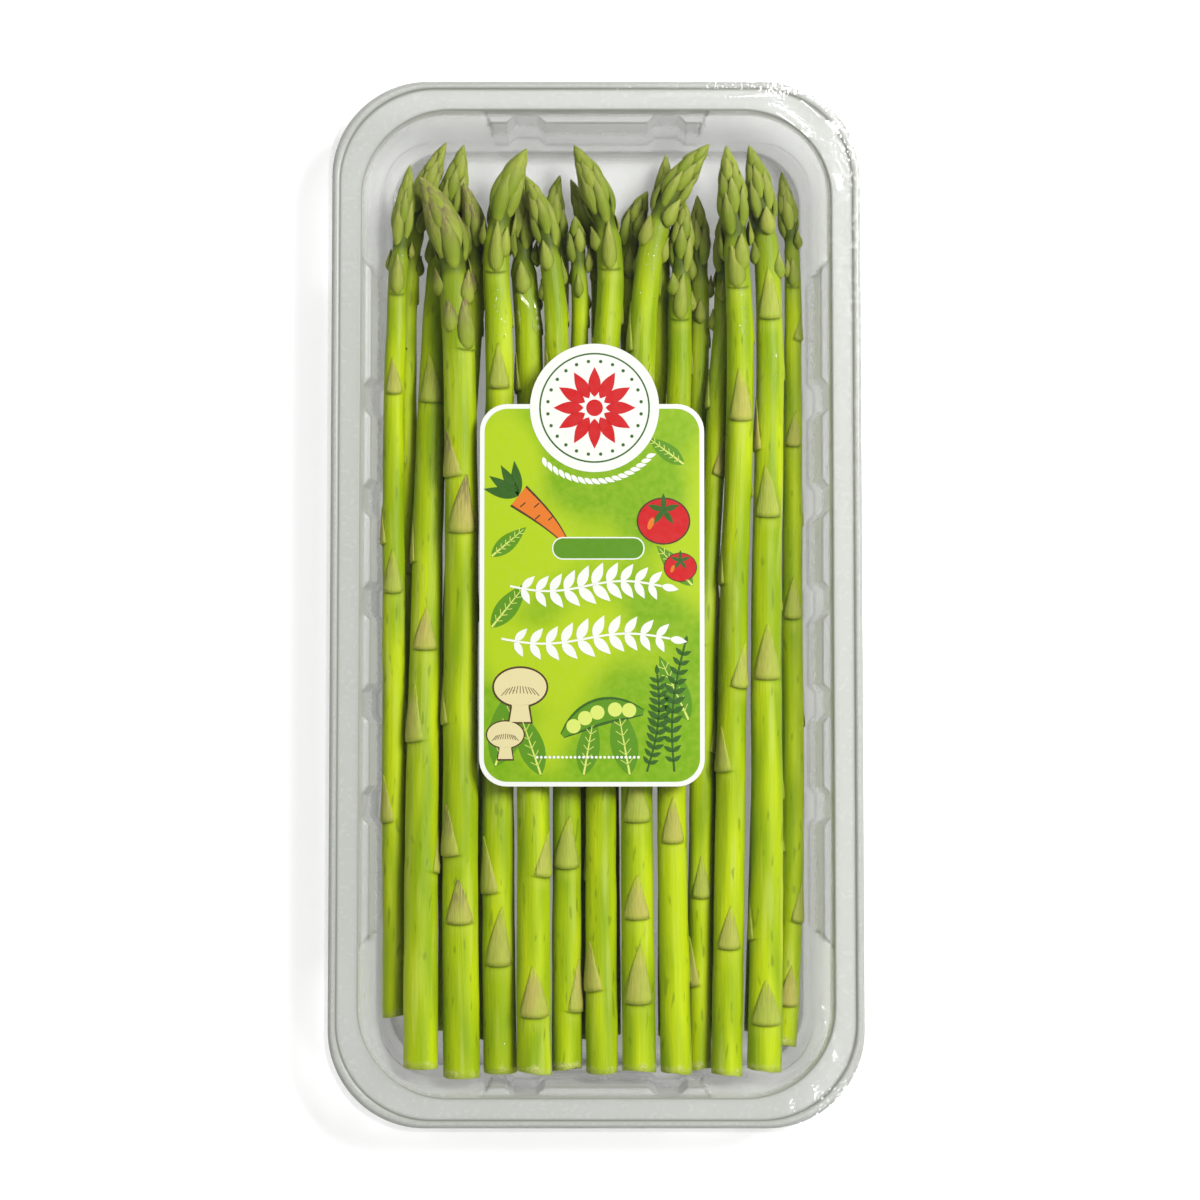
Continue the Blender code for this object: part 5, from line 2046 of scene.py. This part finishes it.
    def motifs(self) -> list[Motif]:
        """Everything printed on the panel, from the bottom of the print to its top.

        Returns:
            The motifs.
        """
        made = self.foliage() + self.bunting()
        made += self.carrot(-17.5, 23.5, -0.85)
        made += self.tomato(17.0, 17.5) + self.tomato(21.0, 6.5, 0.62)
        made += self.mushroom(-17.0, -24.5, 1.15) + self.mushroom(-20.5, -35.0, 0.8)
        made += self.pod(-7.0, -33.5, 0.28)
        for y, length in ((2.0, 36.0), (-10.5, 40.0)):
            t = np.linspace(-0.5, 0.5, 30)
            path = np.column_stack([length * t - 1.5, y + 1.2 * np.sin(2 * math.pi * t)])
            made += self.sprig(path, 10, 6.0, Ink.WHITE, 5)
        plaque = RoundedLoop(6, even(2), even(2))
        made.append(Motif(plaque.read(11.0, 2.7, 2.6) + (1.5, 11.0), Ink.WHITE, 4))
        made.append(Motif(plaque.read(10.7, 2.4, 2.3) + (1.5, 11.0), Ink.LEAF, 5))
        return made + [Motif(disc(x - 1.0, -38.6, 0.34, 10), Ink.WHITE, 5) for x in np.linspace(-12, 12, 25)]

    def build(self, effects: Effects) -> bpy.types.Object:
        """Makes the label.

        Args:
            effects: The shared effects.

        Returns:
            The piece.
        """
        inks = list(Ink)
        surface = Surface()
        self.add_plate(surface, self.outline(0.0), 0.0, self.thickness, inks.index(Ink.WHITE))
        half_x, half_y = (half - self.border for half in self.half)
        panel = RoundedLoop(10, even(60), even(30)).read(half_x, half_y, self.corner - 0.9)
        low, high = self.thickness - 0.03 * MM, self.thickness + self.PRINT_STEP
        self.add_plate(surface, panel, low, high, inks.index(Ink.PANEL))
        ring = disc(*self.badge_at, self.badge_radius, 80)
        motifs = self.motifs() + [Motif(ring, Ink.WHITE, 6)]
        motifs += [Motif(m.outline, m.ink, m.level + 6) for m in self.badge()]
        for motif in motifs:
            self.add_motif(surface, motif, inks.index(motif.ink))
        piece = surface.build("label_printed", *(ink.value.build(effects) for ink in inks))
        for face in piece.data.polygons:
            face.use_smooth = False
        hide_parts("label")
        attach(piece, BODY)
        log.info("label: %d printed shapes", len(motifs))
        return piece


# ---------------------------------------------------------------- studio


@dataclass(frozen=True)
class Lamp:
    """A soft square light that faces the pack: its place and side in metres, and its power in watts."""

    name: str
    place: tuple[float, float, float]
    side: float
    power: float

    def build(self) -> None:
        """Makes the lamp."""
        data = bpy.data.lights.new(self.name, "AREA")
        data.shape = "SQUARE"
        data.size = self.side
        data.energy = self.power
        lamp = bpy.data.objects.new(self.name, data)
        lamp.location = self.place
        lamp.rotation_mode = "QUATERNION"
        lamp.rotation_quaternion = (-Vector(self.place)).to_track_quat("-Z", "Y")
        bpy.context.scene.collection.objects.link(lamp)


@dataclass
class Studio:
    """The plain floor, soft light and the camera of the photograph."""

    floor_half: float = 1.5
    distance: float = 0.75
    elevation: float = 86.3
    frame_height: float = 0.2885
    aim: tuple[float, float, float] = (0.0009, 0.0003, 0.012)
    lamps: tuple[Lamp, ...] = (
        Lamp("key", (0.58, 0.32, 0.85), 0.38, 12.5),
        Lamp("glint", (0.22, 0.56, 0.86), 0.18, 1.2),
        Lamp("side glint", (0.405, -0.443, 0.90), 0.20, 1.5),
    )
    overhead: float = 0.05
    horizon: float = 0.66
    floor_glow: float = 0.46

    def floor(self) -> None:
        """Makes the floor."""
        surface = Surface()
        steps = np.linspace(-self.floor_half, self.floor_half, 5)
        x, y = np.meshgrid(steps, steps)
        surface.stitch(surface.add_points(np.stack([x, y, np.zeros_like(x)], axis=-1)))
        material, wiring, shader = new_material("studio floor")
        place = wiring.add("TexCoord").outputs["Object"]
        grain = wiring.noise(place, 140.0, 2.0, 0.5)
        shade = wiring.blend(wiring.math("MULTIPLY", grain, 0.2), (0.83, 0.83, 0.825, 1), (0.79, 0.79, 0.785, 1))
        feeds = {"Base Color": shade, "Roughness": 0.85, "Specular IOR Level": 0.2}
        feeds |= {"Emission Color": (1.0, 1.0, 1.0, 1.0), "Emission Strength": self.floor_glow}
        wiring.plug(shader, feeds)
        surface.build("studio_floor", material, turn=False)

    def world(self) -> None:
        """Sets the pale light from all round, which is dim right overhead, where the camera stands."""
        world = bpy.data.worlds.new("studio")
        world.use_nodes = True
        wiring = Wiring(world.node_tree)
        background = world.node_tree.nodes["Background"]
        parts = wiring.add("SeparateXYZ", {0: wiring.add("TexCoord").outputs["Generated"]})
        strength = wiring.ramp(parts.outputs["Z"], 0.55, 0.95, self.horizon, self.overhead)
        wiring.plug(background, {"Strength": strength, "Color": (1.0, 1.0, 1.0, 1.0)})
        bpy.context.scene.world = world

    def camera(self) -> None:
        """Sets up the camera."""
        data = bpy.data.cameras.new("camera")
        data.sensor_width = 36.0
        data.lens = 36.0 / 2 / (self.frame_height / 2 / self.distance)
        data.clip_start, data.clip_end = 0.01, 10.0
        camera = bpy.data.objects.new("camera", data)
        tilt = math.radians(self.elevation)
        back = Vector((0, -math.cos(tilt), math.sin(tilt)))
        camera.location = Vector(self.aim) + back * self.distance
        camera.rotation_mode = "QUATERNION"
        camera.rotation_quaternion = (-back).to_track_quat("-Z", "Y")
        bpy.context.scene.collection.objects.link(camera)
        bpy.context.scene.camera = camera

    def build(self) -> None:
        """Makes the whole studio."""
        self.floor()
        for lamp in self.lamps:
            lamp.build()
        self.world()
        self.camera()
        scene = bpy.context.scene
        scene.view_settings.view_transform = "Standard"
        scene.view_settings.look = "None"
        scene.cycles.transparent_max_bounces = 24
        scene.cycles.max_bounces = 4
        scene.cycles.diffuse_bounces = 1
        scene.cycles.glossy_bounces = 1
        log.info("studio: camera %.0f mm away", self.distance / MM)


def main() -> None:
    """Builds the pack's looks in order."""
    logging.basicConfig(level=logging.INFO, format="%(message)s")
    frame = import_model()
    studio = Studio()
    studio.build()
    effects = Effects()
    skin = SpearSkin().build(effects)
    spears = {spear.name: spear for spear in bundle()}
    for spear in spears.values():
        spear.build(frame["nodes"][spear.name], skin)
    add_moisture(spears, WATER.build(effects))
    Tray().build(TRAY_PLASTIC.build(effects))
    Wrap().build(CLEAR_FILM.build(effects))
    Label().build(effects)


if __name__ == "__main__":
    main()
